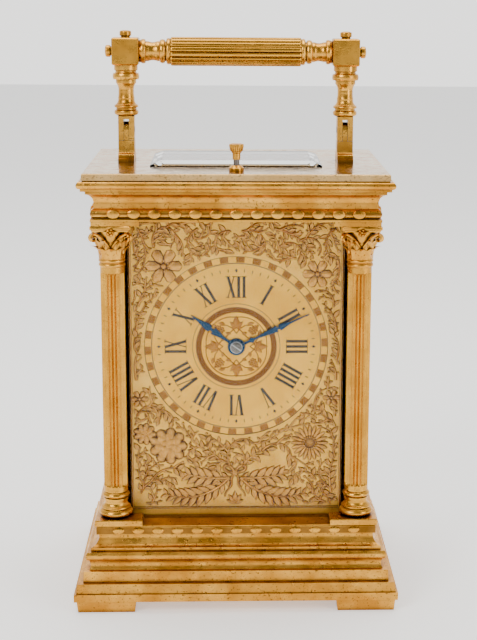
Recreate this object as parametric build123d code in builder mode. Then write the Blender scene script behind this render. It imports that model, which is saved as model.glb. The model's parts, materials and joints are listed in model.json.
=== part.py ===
from build123d import *
import os
from math import atan2, cos, degrees, radians, sin

os.makedirs("parts", exist_ok=True)

# ---------------------------------------------------------------------------
# A gilt brass repeating carriage clock.
# +Z is up, the dial faces -Y, and the origin is under the middle of the base.
# Half widths are along X. The case is narrower along Y by a fixed inset.
# ---------------------------------------------------------------------------

# Overall sizes
base_half = 60.1          # half width of the widest base slab
depth_inset = 12.06       # how much less every half depth is than its half width
window_bottom = 31.3      # top face of the base, where the glasses stand
window_height = 113.9     # clear height between base and cornice
window_top = window_bottom + window_height

# Running clearances and play
pin_play = 0.05           # radial play of a pin in its hole
slide_play = 0.1          # radial play of a sliding rod
leaf_gap = 0.3            # gap between bodies that pass each other

# Base and feet
foot_height = 4.5
foot_length = 22.0        # along each side, from the corner
foot_half = base_half - 0.9
wall = 6.0                # thickness of the hollow castings
bottom_plate_thick = 1.6
plinth_height = 2.2       # pads under the columns
plinth_half = base_half - 7.6
plinth_length = 17.6
abutment_height = 1.6     # pads over the columns

# Columns
column_x = plinth_half - 7.5
column_y = column_x - 11.9
shaft_radius = 4.3
flute_count = 20
flute_radius = 0.5
column_base_height = 9.6
capital_height = 15.5
base_torus = 6.27
abacus_half = 7.2

# Glasses and posts
glass_thick = 1.6
front_glass_face = plinth_half - 21.1    # distance of the front glass's outer face from the middle
glass_half = plinth_half - 11.9
post_face = front_glass_face - glass_thick
post_half = post_face + depth_inset - 0.16   # outer half width of the inner frame
post_depth = 2.2
post_inner = post_half - post_depth

# Top plate and top glass
top_plate_half = base_half - 5.45
top_plate_thick = 2.45
top_glass_x = top_plate_half - 23.15
top_glass_y = top_glass_x - 11.1
top_glass_proud = 2.0
top_bevel = 3.6
glass_fit = 0.15          # play of a glass in its seat

# Handle
handle_x = top_plate_half - 13.55   # middle of each upright
bracket_width = 6.0
bracket_height = 7.75
fork_depth = 6.0
fork_slot = 2.0
tongue_width = 1.7
pivot_rise = 11.85        # pivot axis above the top plate
pivot_radius = 1.1
block_side = 10.0
grip_rise = 40.75         # middle of the grip above the top plate
grip_radius = 5.36
grip_half = handle_x - 16.75
grip_flutes = 16
knob_radius = 2.2

# Repeat button
button_y = 21.65 - top_plate_half
bush_radius = 2.7
rod_radius = 1.05
button_radius = 2.7

# Rear door
door_half = post_inner - 3.0
door_thick = 2.4
door_rail = 4.0
door_gap = 0.5            # play around the door in its frame
hinge_x = 1.5 - door_half
hinge_radius = 0.6

# Dial
dial_z = window_bottom + 65.4
mask_face = post_face - post_depth   # distance of the mask's front from the middle
mask_thick = 0.8
border_radius = 34.1
chapter_recess = 0.4
minute_length = 29.8
hour_length = 20.6
minute_angle = 65.0       # clockwise from twelve
hour_angle = 305.5

# Movement plates
plate_half = 31.0
plate_thick = 1.8
front_plate_y = -17.2     # rear face of the front plate
back_plate_y = 14.0       # front face of the back plate
plate_top = window_top - 14.2
pillar_radius = 2.4
pivot_radius_small = 0.5   # pivots of the small arbors

# Train
barrel_teeth = 48
barrel_module = 0.6
barrel_radius = barrel_module * (barrel_teeth / 2 - 1.67)
barrel_x = barrel_module * (barrel_teeth / 2 + 1.83)
barrel_wall = 0.9
centre_pinion_teeth = 10
train_module = 0.4
centre_teeth = 64
third_teeth = 60
small_pinion_teeth = 8
contrate_teeth = 60
contrate_radius = 8.4
escape_pinion_teeth = 6
fly_module = 0.35
strike_third_teeth = 48
wheel_thick = 1.2

# Motion work
cannon_teeth = 12
minute_wheel_teeth = 36
minute_pinion_teeth = 10
hour_wheel_teeth = 40
cannon_module = 0.3
motion_distance = cannon_module * (cannon_teeth + minute_wheel_teeth) / 2


# ---------------------------------------------------------------------------
# Helpers
# ---------------------------------------------------------------------------
def save(piece, label):
    """Label a finished piece and write it as a STEP file."""
    piece.part.label = label
    export_step(piece.part, "parts/" + label + ".step")


def at_y(y):
    """A plane facing forward at the given Y, with sketch axes along X and Z."""
    return Plane.XZ.offset(-y)


def outline(plane, steps, inset):
    """A symmetrical section. Each step is (half width, height, outward bulge of the stretch before it)."""
    with BuildSketch(plane) as section:
        with BuildLine() as edge:
            last = (0, steps[0][1])
            for half, height, sagitta in steps:
                point = (half - inset, height)
                if sagitta:
                    SagittaArc(last, point, -sagitta)
                else:
                    Line(last, point)
                last = point
            Line(last, (0, last[1]))
            mirror(about=Plane.YZ)
        make_face()
    return section.sketch


def moulding(steps):
    """A four sided moulding with mitred corners: a front section crossed with a side section."""
    reach = 2 * base_half
    with BuildPart() as front_run:
        extrude(outline(Plane.XZ.offset(-reach), steps, 0), amount=2 * reach)
    with BuildPart() as side_run:
        extrude(outline(Plane.YZ.offset(-reach), steps, depth_inset), amount=2 * reach)
    with BuildPart() as mitred:
        add(front_run.part)
        add(side_run.part, mode=Mode.INTERSECT)
    return mitred.part


def turning(steps):
    """A turned piece on the Z axis. Each step is (radius, height, outward bulge of the stretch before it)."""
    with BuildPart() as turned:
        with BuildSketch(Plane.XZ):
            with BuildLine():
                last = (0, steps[0][1])
                for radius, height, sagitta in steps:
                    if sagitta:
                        SagittaArc(last, (radius, height), -sagitta)
                    else:
                        Line(last, (radius, height))
                    last = (radius, height)
                Line(last, (0, last[1]))
                Line((0, last[1]), (0, steps[0][1]))
            make_face()
        revolve(axis=Axis.Z)
    return turned.part


def corners(x, y):
    """The four corners of a rectangle of half sizes x and y."""
    return [(x, y), (-x, y), (-x, -y), (x, -y)]


def gear_points(teeth, module, phase, addendum=0.6, dedendum=0.95):
    """Straight sided gear teeth. The phase is the angle of the middle of one tooth, in degrees."""
    pitch = 360 / teeth
    root = module * (teeth / 2 - dedendum)
    tip = module * (teeth / 2 + addendum)
    points = []
    for tooth in range(teeth):
        middle = phase + tooth * pitch
        for radius, share in ((root, -0.26), (tip, -0.11), (tip, 0.11), (root, 0.26)):
            angle = radians(middle + share * pitch)
            points.append((radius * cos(angle), radius * sin(angle)))
    return points


def toward(start, end):
    """The direction from one arbor to another, in degrees, in the plane of the plates."""
    return degrees(atan2(end[1] - start[1], end[0] - start[0]))


def gap_phase(teeth, direction):
    """The phase that turns a gap, not a tooth, to face a direction."""
    return direction + 180 / teeth


# ---------------------------------------------------------------------------
# Base
# ---------------------------------------------------------------------------
base_steps = [
    (base_half, foot_height, 0),
    (base_half, 7.4, 0),
    (base_half - 0.8, 7.4, 0),
    (base_half - 1.3, 11.0, 0),
    (base_half - 3.3, 11.0, 0),
    (base_half - 3.6, 15.1, 0),
    (base_half - 5.4, 15.1, 0),
    (base_half - 5.4, 18.9, -0.6),
    (base_half - 4.9, 19.1, 0),
    (base_half - 4.9, 22.1, 0.55),
    (base_half - 6.2, 22.1, 0),
    (base_half - 6.2, 23.4, 0),
    (base_half - 9.0, 27.3, -0.9),
    (base_half - 9.0, 27.9, 0),
    (base_half - 8.15, 27.9, 0),
    (base_half - 8.15, 30.7, 0),
    (base_half - 8.5, 30.7, 0),
    (base_half - 8.5, 31.0, 0),
    (base_half - 8.15, 31.0, 0),
    (base_half - 8.15, window_bottom, 0),
]
pocket_half = base_half - 9.0 - wall
pocket_top = window_bottom - wall / 2

base_blank = moulding(base_steps)
with BuildPart() as base_moulding:
    add(base_blank)
    with BuildSketch(Plane.XY.offset(foot_height)):
        Rectangle(2 * pocket_half, 2 * (pocket_half - depth_inset))
    extrude(amount=pocket_top - foot_height, mode=Mode.SUBTRACT)
    with BuildSketch(Plane.XY.offset(foot_height)):
        Rectangle(2 * pocket_half + wall, 2 * (pocket_half - depth_inset) + wall)
    extrude(amount=bottom_plate_thick, mode=Mode.SUBTRACT)
save(base_moulding, "base_moulding")

with BuildPart() as bottom_plate:
    with BuildSketch(Plane.XY.offset(foot_height)):
        Rectangle(2 * pocket_half + wall - glass_fit, 2 * (pocket_half - depth_inset) + wall - glass_fit)
    extrude(amount=bottom_plate_thick)
save(bottom_plate, "bottom_plate")

# Each foot is a corner block with a quarter of its inner side cut away.
with BuildPart() as feet:
    for side_x, side_y in corners(1, 1):
        outer_x = side_x * foot_half
        outer_y = side_y * (foot_half - depth_inset)
        with BuildSketch(Plane.XY.offset(foot_height)):
            with Locations((outer_x - side_x * foot_length / 2, outer_y - side_y * foot_length / 2)):
                Rectangle(foot_length, foot_length)
            with Locations((outer_x - side_x * foot_length, outer_y - side_y * foot_length)):
                Circle(foot_length * 0.62, mode=Mode.SUBTRACT)
        extrude(amount=-foot_height, taper=6)
save(feet, "feet")

# ---------------------------------------------------------------------------
# Plinths, columns and capitals
# ---------------------------------------------------------------------------
# The pads wrap round the corner of the glazed box.
box_x = front_glass_face + depth_inset + leaf_gap / 2
box_y = front_glass_face + leaf_gap / 2
plinth_y = plinth_half - depth_inset


def glass_zone(foot):
    """The plan of the glazed box with its gaps, which the columns keep clear of."""
    with BuildSketch(Plane.XY.offset(foot)) as zone:
        Rectangle(2 * box_x, 2 * (glass_half - depth_inset + leaf_gap))
        Rectangle(2 * (glass_half + leaf_gap), 2 * box_y)
        Rectangle(2 * (post_half + leaf_gap / 2), 2 * (post_face + leaf_gap / 2))
    return zone.sketch


with BuildPart() as column_plinths:
    for side_x, side_y in corners(1, 1):
        with BuildSketch(Plane.XY.offset(window_bottom)):
            with Locations((
                side_x * (plinth_half - plinth_length / 2),
                side_y * (plinth_y - plinth_length / 2),
            )):
                Rectangle(plinth_length, plinth_length)
        extrude(amount=plinth_height)
    extrude(glass_zone(window_bottom), amount=plinth_height, mode=Mode.SUBTRACT)
    chamfer(column_plinths.edges().group_by(Axis.Z)[-1].filter_by(GeomType.LINE), 0.3)
save(column_plinths, "column_plinths")

column_foot = window_bottom + plinth_height
shaft_foot = column_foot + column_base_height
column_head = window_top - abutment_height
capital_foot = column_head - capital_height


column_turning = turning([
    (base_torus - 1.4, 0, 0),
    (base_torus - 1.4, 3.2, 1.4),
    (shaft_radius + 1.1, 3.2, 0),
    (shaft_radius + 1.1, 3.9, 0),
    (shaft_radius + 0.1, 6.4, -0.9),
    (shaft_radius + 0.1, 7.2, 0),
    (shaft_radius - 0.4, 7.2, 0),
    (shaft_radius - 0.4, column_base_height, 1.1),
    (shaft_radius, column_base_height, 0),
    (shaft_radius, capital_foot - column_foot, 0),
])

with BuildPart() as columns:
    with Locations(*[(x, y, column_foot) for x, y in corners(column_x, column_y)]):
        add(column_turning)
    for x, y in corners(column_x, column_y):
        with BuildSketch(Plane.XY.offset(shaft_foot + 2.0)):
            with Locations((x, y)):
                with PolarLocations(shaft_radius + 0.1, flute_count):
                    Circle(flute_radius)
        extrude(amount=capital_foot - shaft_foot - 4.5, mode=Mode.SUBTRACT)
    extrude(glass_zone(column_foot), amount=capital_foot - column_foot, mode=Mode.SUBTRACT)
save(columns, "columns")

# A plain bell, an astragal and a square abacus carry each capital's leaves.
bell_height = 13.2
bell_turning = turning([
    (shaft_radius + 0.5, 0, 0),
    (shaft_radius + 0.5, 3.1, 0),
    (shaft_radius + 0.2, 3.9, 0),
    (shaft_radius + 1.6, 8.0, 0),
    (abacus_half - 0.2, bell_height, -0.5),
])

with BuildPart() as capitals:
    with Locations(*[(x, y, capital_foot) for x, y in corners(column_x, column_y)]):
        add(bell_turning)
    with BuildSketch(Plane.XY.offset(capital_foot + bell_height)):
        with Locations(*corners(column_x, column_y)):
            Rectangle(2 * abacus_half, 2 * abacus_half)
    extrude(amount=capital_height - bell_height)
    extrude(glass_zone(capital_foot), amount=capital_height, mode=Mode.SUBTRACT)
save(capitals, "capitals")

# ---------------------------------------------------------------------------
# Cornice, top plate and glasses
# ---------------------------------------------------------------------------
cornice_steps = [
    (base_half - 8.0, window_top, 0),
    (base_half - 8.0, window_top + 0.8, 0),
    (base_half - 9.2, window_top + 0.8, 0),
    (base_half - 9.2, window_top + 1.2, 0),
    (base_half - 9.0, window_top + 1.2, 0),
    (base_half - 9.0, window_top + 4.4, 0.9),
    (base_half - 9.3, window_top + 4.7, 0),
    (base_half - 9.3, window_top + 6.4, 0),
    (base_half - 6.6, window_top + 10.0, -0.9),
    (base_half - 6.6, window_top + 10.9, 0),
    (base_half - 5.0, window_top + 11.2, 0),
    (base_half - 5.0, window_top + 12.05, 0),
    (base_half - 5.35, window_top + 14.7, 1.5),
    (base_half - 5.8, window_top + 14.7, 0),
    (base_half - 5.8, window_top + 15.0, 0),
]
cornice_top = window_top + 15.0
well_x = post_inner - 0.3
well_y = well_x - depth_inset
rod_slot = 5.0

cornice_blank = moulding(cornice_steps)
with BuildPart() as cornice:
    add(cornice_blank)
    for side_x, side_y in corners(1, 1):
        with BuildSketch(Plane.XY.offset(column_head)):
            with Locations((
                side_x * (plinth_half - 0.4 - plinth_length / 2),
                side_y * (plinth_y - 0.4 - plinth_length / 2),
            )):
                Rectangle(plinth_length - 0.4, plinth_length - 0.4)
        extrude(amount=abutment_height)
    extrude(glass_zone(column_head), amount=abutment_height, mode=Mode.SUBTRACT)
    with BuildSketch(Plane.XY.offset(column_head)):
        Rectangle(2 * well_x, 2 * well_y)
    extrude(amount=cornice_top - column_head, mode=Mode.SUBTRACT)
    with BuildSketch(Plane.XY.offset(window_top + 2.0)):
        with Locations((0, (button_y - rod_slot / 2 - well_y) / 2)):
            Rectangle(rod_slot + 1.0, abs(button_y) + rod_slot / 2 - well_y)
    extrude(amount=cornice_top - window_top, mode=Mode.SUBTRACT)
save(cornice, "cornice")

plate_bottom = cornice_top
plate_face = plate_bottom + top_plate_thick
seat_depth = 1.5

with BuildPart() as top_plate:
    with BuildSketch(Plane.XY.offset(plate_bottom)):
        Rectangle(2 * top_plate_half, 2 * (top_plate_half - depth_inset))
    extrude(amount=top_plate_thick)
    chamfer(top_plate.edges().group_by(Axis.Z)[-1], 0.35)
    with BuildSketch(Plane.XY.offset(plate_face)):
        Rectangle(2 * (top_glass_x + glass_fit), 2 * (top_glass_y + glass_fit))
    extrude(amount=-seat_depth, mode=Mode.SUBTRACT)
    with BuildSketch(Plane.XY.offset(plate_face)):
        Rectangle(2 * top_glass_x - 2.4, 2 * top_glass_y - 2.4)
    extrude(amount=-top_plate_thick, mode=Mode.SUBTRACT)
    with BuildSketch(Plane.XY.offset(plate_bottom)):
        with Locations((0, button_y)):
            Circle(bush_radius - 0.6)
    extrude(amount=top_plate_thick, mode=Mode.SUBTRACT)
save(top_plate, "top_plate")

with BuildPart() as top_glass:
    with BuildSketch(Plane.XY.offset(plate_face - seat_depth)):
        Rectangle(2 * top_glass_x, 2 * top_glass_y)
    extrude(amount=seat_depth + top_glass_proud)
    chamfer(top_glass.edges().group_by(Axis.Z)[-1], 1.5, top_bevel)
save(top_glass, "top_glass")

with BuildPart() as front_glass:
    with BuildSketch(at_y(glass_thick - front_glass_face)):
        with Locations((0, window_bottom + window_height / 2)):
            Rectangle(2 * glass_half, window_height)
    extrude(amount=glass_thick)
    chamfer(front_glass.edges().group_by(Axis.Y)[0], 0.7, 3.5)
save(front_glass, "front_glass")

side_glass_half = glass_half - depth_inset
side_glass_face = front_glass_face + depth_inset

with BuildPart() as side_glasses:
    for side in (1, -1):
        with BuildSketch(Plane.YZ.offset(side * (side_glass_face - glass_thick))):
            with Locations((0, window_bottom + window_height / 2)):
                Rectangle(2 * side_glass_half, window_height)
        extrude(amount=side * glass_thick)
    chamfer(side_glasses.edges().group_by(Axis.X)[0], 0.7, 3.5)
    chamfer(side_glasses.edges().group_by(Axis.X)[-1], 0.7, 3.5)
save(side_glasses, "side_glasses")

with BuildPart() as front_posts:
    for side in (1, -1):
        with BuildSketch(Plane.XY.offset(window_bottom)):
            with Locations((side * (post_inner + post_half) / 2, post_depth / 2 - post_face)):
                Rectangle(post_half - post_inner, post_depth)
        extrude(amount=window_height)
save(front_posts, "front_posts")

# ---------------------------------------------------------------------------
# Rear frame and door
# ---------------------------------------------------------------------------
door_low = window_bottom + plinth_height + leaf_gap
door_high = column_head - leaf_gap
door_middle = (door_low + door_high) / 2
door_height = door_high - door_low
door_glass_half = door_half - door_rail
door_glass_height = door_height - 2 * door_rail
hinge_y = post_face - door_thick / 2
lip = 0.8

with BuildPart() as rear_frame:
    with BuildSketch(at_y(post_face)):
        with Locations((0, window_bottom + window_height / 2)):
            Rectangle(2 * post_half, window_height)
        with Locations((0, door_middle)):
            Rectangle(2 * (door_half + door_gap), door_height + 2 * slide_play, mode=Mode.SUBTRACT)
    extrude(amount=post_depth)
    with BuildSketch(Plane.XY.offset(window_bottom)):
        with Locations((hinge_x, hinge_y)):
            Circle(hinge_radius + pin_play)
    extrude(amount=window_height, mode=Mode.SUBTRACT)
save(rear_frame, "rear_frame")

with BuildPart() as door_frame:
    with BuildSketch(at_y(post_face)):
        with Locations((0, door_middle)):
            Rectangle(2 * door_half, door_height)
            Rectangle(2 * (door_glass_half - lip), door_glass_height - 2 * lip, mode=Mode.SUBTRACT)
    extrude(amount=door_thick)
    with BuildSketch(at_y(post_face - (door_thick - glass_thick))):
        with Locations((0, door_middle)):
            Rectangle(2 * (door_glass_half + glass_fit), door_glass_height + 2 * glass_fit)
    extrude(amount=glass_thick, mode=Mode.SUBTRACT)
    with BuildSketch(Plane.XY.offset(door_low)):
        with Locations((hinge_x, hinge_y)):
            Circle(hinge_radius)
    extrude(amount=door_height, mode=Mode.SUBTRACT)
save(door_frame, "door_frame")

with BuildPart() as door_glass:
    with BuildSketch(at_y(post_face - (door_thick - glass_thick))):
        with Locations((0, door_middle)):
            Rectangle(2 * door_glass_half, door_glass_height)
    extrude(amount=glass_thick)
    chamfer(door_glass.edges().group_by(Axis.Y)[-1], 0.7, 3.5)
save(door_glass, "door_glass")

pin_reach = plinth_height - slide_play

with BuildPart() as door_pins:
    for foot in (door_low - pin_reach, door_high - pin_reach):
        with BuildSketch(Plane.XY.offset(foot)):
            with Locations((hinge_x, hinge_y)):
                Circle(hinge_radius)
        extrude(amount=2 * pin_reach if foot < door_middle else pin_reach + abutment_height)
save(door_pins, "door_pins")

knob_turning = turning([
    (1.5, 0, 0),
    (1.5, 0.5, 0),
    (0.9, 1.0, -0.1),
    (0.9, 1.9, 0),
    (1.9, 2.6, 0.1),
    (1.9, 3.6, 0.2),
    (0.5, 4.6, 0.25),
    (0.5, 4.8, 0),
])
with BuildPart() as door_knob:
    with Locations((door_half - door_rail / 2, post_face, door_middle)):
        add(knob_turning, rotation=(-90, 0, 0))
save(door_knob, "door_knob")

# ---------------------------------------------------------------------------
# Handle
# ---------------------------------------------------------------------------
pivot_z = plate_face + pivot_rise
grip_z = plate_face + grip_rise
bracket_top = plate_face + bracket_height
fork_bottom = bracket_top + slide_play
fork_drop = pivot_z - fork_bottom
fork_height = 9.1
fork_top = fork_bottom + fork_height
block_bottom = grip_z - block_side / 2
tongue_round = fork_depth / 2 - slide_play
slot_rise = 3.9

bracket_steps = [
    (6.3, plate_face, 0),
    (6.3, plate_face + 1.2, 0),
    (5.6, plate_face + 1.5, 0),
    (5.6, plate_face + 2.4, 0),
    (4.9, plate_face + 3.0, 0.1),
    (3.3, plate_face + 4.6, -0.5),
    (3.3, bracket_top, 0),
]

with BuildPart() as handle_brackets:
    for side in (1, -1):
        inner = side * handle_x - bracket_width / 2
        extrude(outline(Plane.YZ.offset(inner), bracket_steps, 0), amount=bracket_width)
        with BuildSketch(Plane.YZ.offset(side * handle_x - tongue_width / 2)):
            with Locations((0, (bracket_top + pivot_z) / 2)):
                Rectangle(2 * tongue_round, pivot_z - bracket_top)
            with Locations((0, pivot_z)):
                Circle(tongue_round)
                Circle(pivot_radius + pin_play, mode=Mode.SUBTRACT)
        extrude(amount=tongue_width)
save(handle_brackets, "handle_brackets")

shank_turning = turning([
    (3.0, 0, 0),
    (4.4, 0.6, 0.15),
    (4.4, 1.9, 0.1),
    (3.8, 2.3, 0),
    (3.8, 2.9, 0),
    (4.35, 3.1, 0),
    (4.35, 3.9, 0.15),
    (3.1, 6.6, -0.5),
    (2.9, 9.1, -0.1),
    (3.8, 12.15, -0.35),
    (3.8, 13.5, 0),
    (4.75, 13.5, 0),
    (4.75, 15.7, 0.25),
    (3.9, 16.6, -0.3),
    (4.4, 16.9, 0),
    (4.4, block_bottom - fork_top, 0),
])

# A square fork stands over the bracket's tongue. Its rear lower corner is rounded
# about the pivot, so it turns back, and its front lower corner stops it going forward.
with BuildPart() as handle_uprights:
    for side in (1, -1):
        with BuildSketch(Plane.YZ.offset(side * handle_x - bracket_width / 2)):
            with BuildLine():
                half = fork_depth / 2
                swing = fork_drop - slide_play / 2
                drop = (swing * swing - half * half) ** 0.5
                Line((-half, fork_top), (-half, fork_bottom))
                Line((-half, fork_bottom), (0, pivot_z - swing))
                RadiusArc((0, pivot_z - swing), (half, pivot_z - drop), -swing)
                Line((half, pivot_z - drop), (half, fork_top))
                Line((half, fork_top), (-half, fork_top))
            make_face()
            with Locations((0, pivot_z)):
                Circle(pivot_radius, mode=Mode.SUBTRACT)
        extrude(amount=bracket_width)
        with BuildSketch(Plane.XY.offset(fork_bottom)):
            with Locations((side * handle_x, 0)):
                Rectangle(fork_slot, 2 * fork_depth)
        extrude(amount=fork_drop + slot_rise, mode=Mode.SUBTRACT)
    with Locations((handle_x, 0, fork_top), (-handle_x, 0, fork_top)):
        add(shank_turning)
save(handle_uprights, "handle_uprights")

with BuildPart() as handle_corner_blocks:
    with BuildSketch(Plane.XY.offset(block_bottom)):
        with Locations((handle_x, 0), (-handle_x, 0)):
            Rectangle(block_side, block_side)
    extrude(amount=block_side)
    chamfer(handle_corner_blocks.edges(), 0.45)
save(handle_corner_blocks, "handle_corner_blocks")

button_cap_turning = turning([
    (knob_radius - 0.5, 0, 0),
    (knob_radius - 0.5, 0.5, 0),
    (knob_radius, 0.8, 0),
    (knob_radius, 2.0, 0),
    (knob_radius - 0.5, 2.5, 0.12),
    (0.4, 2.7, 0.05),
])
with BuildPart() as handle_cap_knobs:
    with Locations((handle_x, 0, block_bottom + block_side), (-handle_x, 0, block_bottom + block_side)):
        add(button_cap_turning)
    with Locations((handle_x + block_side / 2, 0, grip_z)):
        add(button_cap_turning, rotation=(0, 90, 0))
    with Locations((-handle_x - block_side / 2, 0, grip_z)):
        add(button_cap_turning, rotation=(0, -90, 0))
save(handle_cap_knobs, "handle_cap_knobs")

end_length = handle_x - block_side / 2 - grip_half
end_turning = turning([
    (4.6, 0, 0),
    (4.6, 1.45, 0.3),
    (3.7, 1.7, 0),
    (3.7, 2.0, 0),
    (4.1, 2.05, 0),
    (4.1, 3.95, 0.35),
    (3.7, 4.2, 0),
    (3.7, 5.0, 0),
    (3.7, 8.3, -0.35),
    (3.7, 9.2, 0),
    (4.3, 9.35, 0),
    (4.3, 10.95, 0.25),
    (4.0, end_length, 0),
])
with BuildPart() as handle_bar_ends:
    with Locations((grip_half, 0, grip_z)):
        add(end_turning, rotation=(0, 90, 0))
    with Locations((-grip_half, 0, grip_z)):
        add(end_turning, rotation=(0, -90, 0))
save(handle_bar_ends, "handle_bar_ends")

with BuildPart() as handle_grip:
    with BuildSketch(Plane.YZ.offset(-grip_half)):
        with Locations((0, grip_z)):
            Circle(grip_radius)
            with PolarLocations(grip_radius + 0.25, grip_flutes):
                Circle(0.75, mode=Mode.SUBTRACT)
    extrude(amount=2 * grip_half)
save(handle_grip, "handle_grip")

with BuildPart() as handle_pivot_pins:
    for side in (1, -1):
        with BuildSketch(Plane.YZ.offset(side * handle_x - bracket_width / 2 - slide_play)):
            with Locations((0, pivot_z)):
                Circle(pivot_radius)
        extrude(amount=bracket_width + 2 * slide_play)
save(handle_pivot_pins, "handle_pivot_pins")

# ---------------------------------------------------------------------------
# Repeat button, its rod, spring and lever
# ---------------------------------------------------------------------------
bush_height = 2.15
button_travel = 1.9
stem_bottom = plate_face + bush_height + button_travel + slide_play
rod_top = stem_bottom + 2.0
arm_top = window_top + 9.3
arm_thick = 2.0
arm_width = 2.4
leg_y = -24.6
leg_bottom = 118.0
spring_floor = window_top + 2.0
spring_radius = 1.9
spring_wire = 0.3
spring_turns = 4

with BuildPart() as button_bush:
    with Locations((0, button_y, plate_bottom)):
        add(turning([
            (bush_radius - 0.6, 0, 0),
            (bush_radius - 0.6, top_plate_thick, 0),
            (bush_radius, top_plate_thick, 0),
            (bush_radius, top_plate_thick + 1.2, 0),
            (bush_radius - 1.1, top_plate_thick + bush_height, 0),
        ]))
    with BuildSketch(Plane.XY.offset(plate_bottom)):
        with Locations((0, button_y)):
            Circle(rod_radius + slide_play)
    extrude(amount=top_plate_thick + bush_height, mode=Mode.SUBTRACT)
save(button_bush, "button_bush")

with BuildPart() as repeat_button:
    with Locations((0, button_y, stem_bottom)):
        add(turning([
            (1.43, 0, 0),
            (1.43, 2.4, 0),
            (1.9, 2.7, 0),
            (2.3, 3.0, 0),
            (button_radius, 5.4, 0),
            (button_radius - 0.2, 5.65, 0),
            (0.6, 5.75, 0),
        ]))
    with BuildSketch(Plane.XY.offset(stem_bottom)):
        with Locations((0, button_y)):
            Circle(rod_radius)
    extrude(amount=rod_top - stem_bottom, mode=Mode.SUBTRACT)
save(repeat_button, "repeat_button")

# The rod drops behind the front moulding, then an arm takes it back and down to the lever.
with BuildPart() as repeat_rod:
    with BuildSketch(Plane.XY.offset(arm_top - arm_thick)):
        with Locations((0, button_y)):
            Circle(rod_radius)
    extrude(amount=rod_top - arm_top + arm_thick)
    with BuildSketch(Plane.XY.offset(arm_top - arm_thick)):
        with Locations((0, button_y)):
            Circle(spring_radius)
        with Locations((0, (button_y + leg_y) / 2)):
            Rectangle(arm_width, leg_y - button_y)
        with Locations((0, leg_y)):
            Rectangle(arm_width, 1.2)
    extrude(amount=arm_thick)
    with BuildSketch(Plane.XY.offset(leg_bottom)):
        with Locations((0, leg_y)):
            Rectangle(arm_width, 1.2)
    extrude(amount=arm_top - leg_bottom)
save(repeat_rod, "repeat_rod")

spring_length = arm_top - arm_thick - spring_floor
with BuildPart() as repeat_spring:
    with BuildLine(Plane((0, button_y, spring_floor + spring_wire))) as coil:
        coil_height = spring_length - 2 * spring_wire
        Helix(coil_height / spring_turns, coil_height, spring_radius - spring_wire)
    with BuildSketch(Plane(coil.line @ 0, z_dir=coil.line % 0)):
        Circle(spring_wire)
    sweep()
save(repeat_spring, "repeat_spring")

lever_pivot = (-9.0, 113.0)
lever_y = leg_y + 0.6
lever_thick = 1.2
lever_tip = (0.0, leg_bottom - 1.1 - slide_play)

with BuildPart() as repeat_lever:
    with BuildSketch(at_y(lever_y)):
        with BuildLine():
            Line(lever_pivot, lever_tip)
        trace(line_width=1.6)
        with Locations(lever_pivot):
            Circle(2.0)
        with Locations(lever_tip):
            Circle(1.1)
        with Locations(lever_pivot):
            Circle(0.6 + pin_play, mode=Mode.SUBTRACT)
    extrude(amount=lever_thick)
save(repeat_lever, "repeat_lever")

# ---------------------------------------------------------------------------
# Dial and hands
# ---------------------------------------------------------------------------
mask_back = mask_thick - mask_face
chapter_face = chapter_recess - mask_face
dial_back = mask_back + 0.8
hour_hand_y = chapter_face - 0.6
minute_hand_y = hour_hand_y - 0.7
hand_thick = 0.3
hour_tube_radius = 2.0
arbor_radius = 1.0

with BuildPart() as dial_mask:
    with BuildSketch(at_y(mask_back)):
        with Locations((0, window_bottom + window_height / 2)):
            Rectangle(2 * post_half - 1.0, window_height - 2 * slide_play)
        with Locations((0, dial_z)):
            Circle(border_radius, mode=Mode.SUBTRACT)
    extrude(amount=mask_thick)
save(dial_mask, "dial_mask")

with BuildPart() as dial_plate:
    with BuildSketch(at_y(dial_back)):
        with Locations((0, dial_z)):
            Circle(border_radius + 2.0)
    extrude(amount=0.8)
    with BuildSketch(at_y(mask_back)):
        with Locations((0, dial_z)):
            Circle(border_radius - slide_play)
    extrude(amount=mask_thick - chapter_recess)
    with BuildSketch(at_y(chapter_face)):
        with Locations((0, dial_z)):
            Circle(hour_tube_radius + 0.4)
    extrude(amount=-5, mode=Mode.SUBTRACT)
save(dial_plate, "dial_plate")


def hand_blank(half_outline):
    """A hand from one half of its outline, given from its hub to its point, and mirrored."""
    with BuildSketch() as blank:
        with BuildLine():
            Polyline(*half_outline)
            mirror(about=Plane.YZ)
        make_face()
    return blank.sketch


# Each hand is slim, with two barbs that point back and a needle beyond them.
minute_blank = hand_blank([
    (0, 0),
    (0.5, 1.0),
    (0.45, 5.4),
    (1.15, 6.4),
    (0.38, 7.4),
    (0.38, 9.0),
    (1.2, 16.8),
    (0.45, 16.5),
    (0.45, 17.5),
    (1.25, 17.7),
    (0.38, 22.0),
    (0.12, minute_length),
    (0, minute_length),
])
hour_blank = hand_blank([
    (0, 0),
    (0.6, 1.0),
    (0.45, 5.5),
    (1.4, 10.7),
    (0.5, 10.4),
    (0.5, 11.8),
    (1.35, 12.0),
    (1.25, 13.6),
    (0.5, 17.0),
    (0.12, hour_length),
    (0, hour_length),
])

with BuildPart() as minute_hand:
    with BuildSketch(at_y(minute_hand_y + hand_thick)):
        with Locations(Location((0, dial_z, 0), (0, 0, -minute_angle))):
            add(minute_blank)
        with Locations((0, dial_z)):
            Circle(2.6)
            Circle(arbor_radius, mode=Mode.SUBTRACT)
    extrude(amount=hand_thick)
save(minute_hand, "minute_hand")

with BuildPart() as hour_hand:
    with BuildSketch(at_y(hour_hand_y + hand_thick)):
        with Locations(Location((0, dial_z, 0), (0, 0, -hour_angle))):
            add(hour_blank)
        with Locations((0, dial_z)):
            Circle(3.2)
            Circle(hour_tube_radius, mode=Mode.SUBTRACT)
    extrude(amount=hand_thick)
save(hour_hand, "hour_hand")

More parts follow.
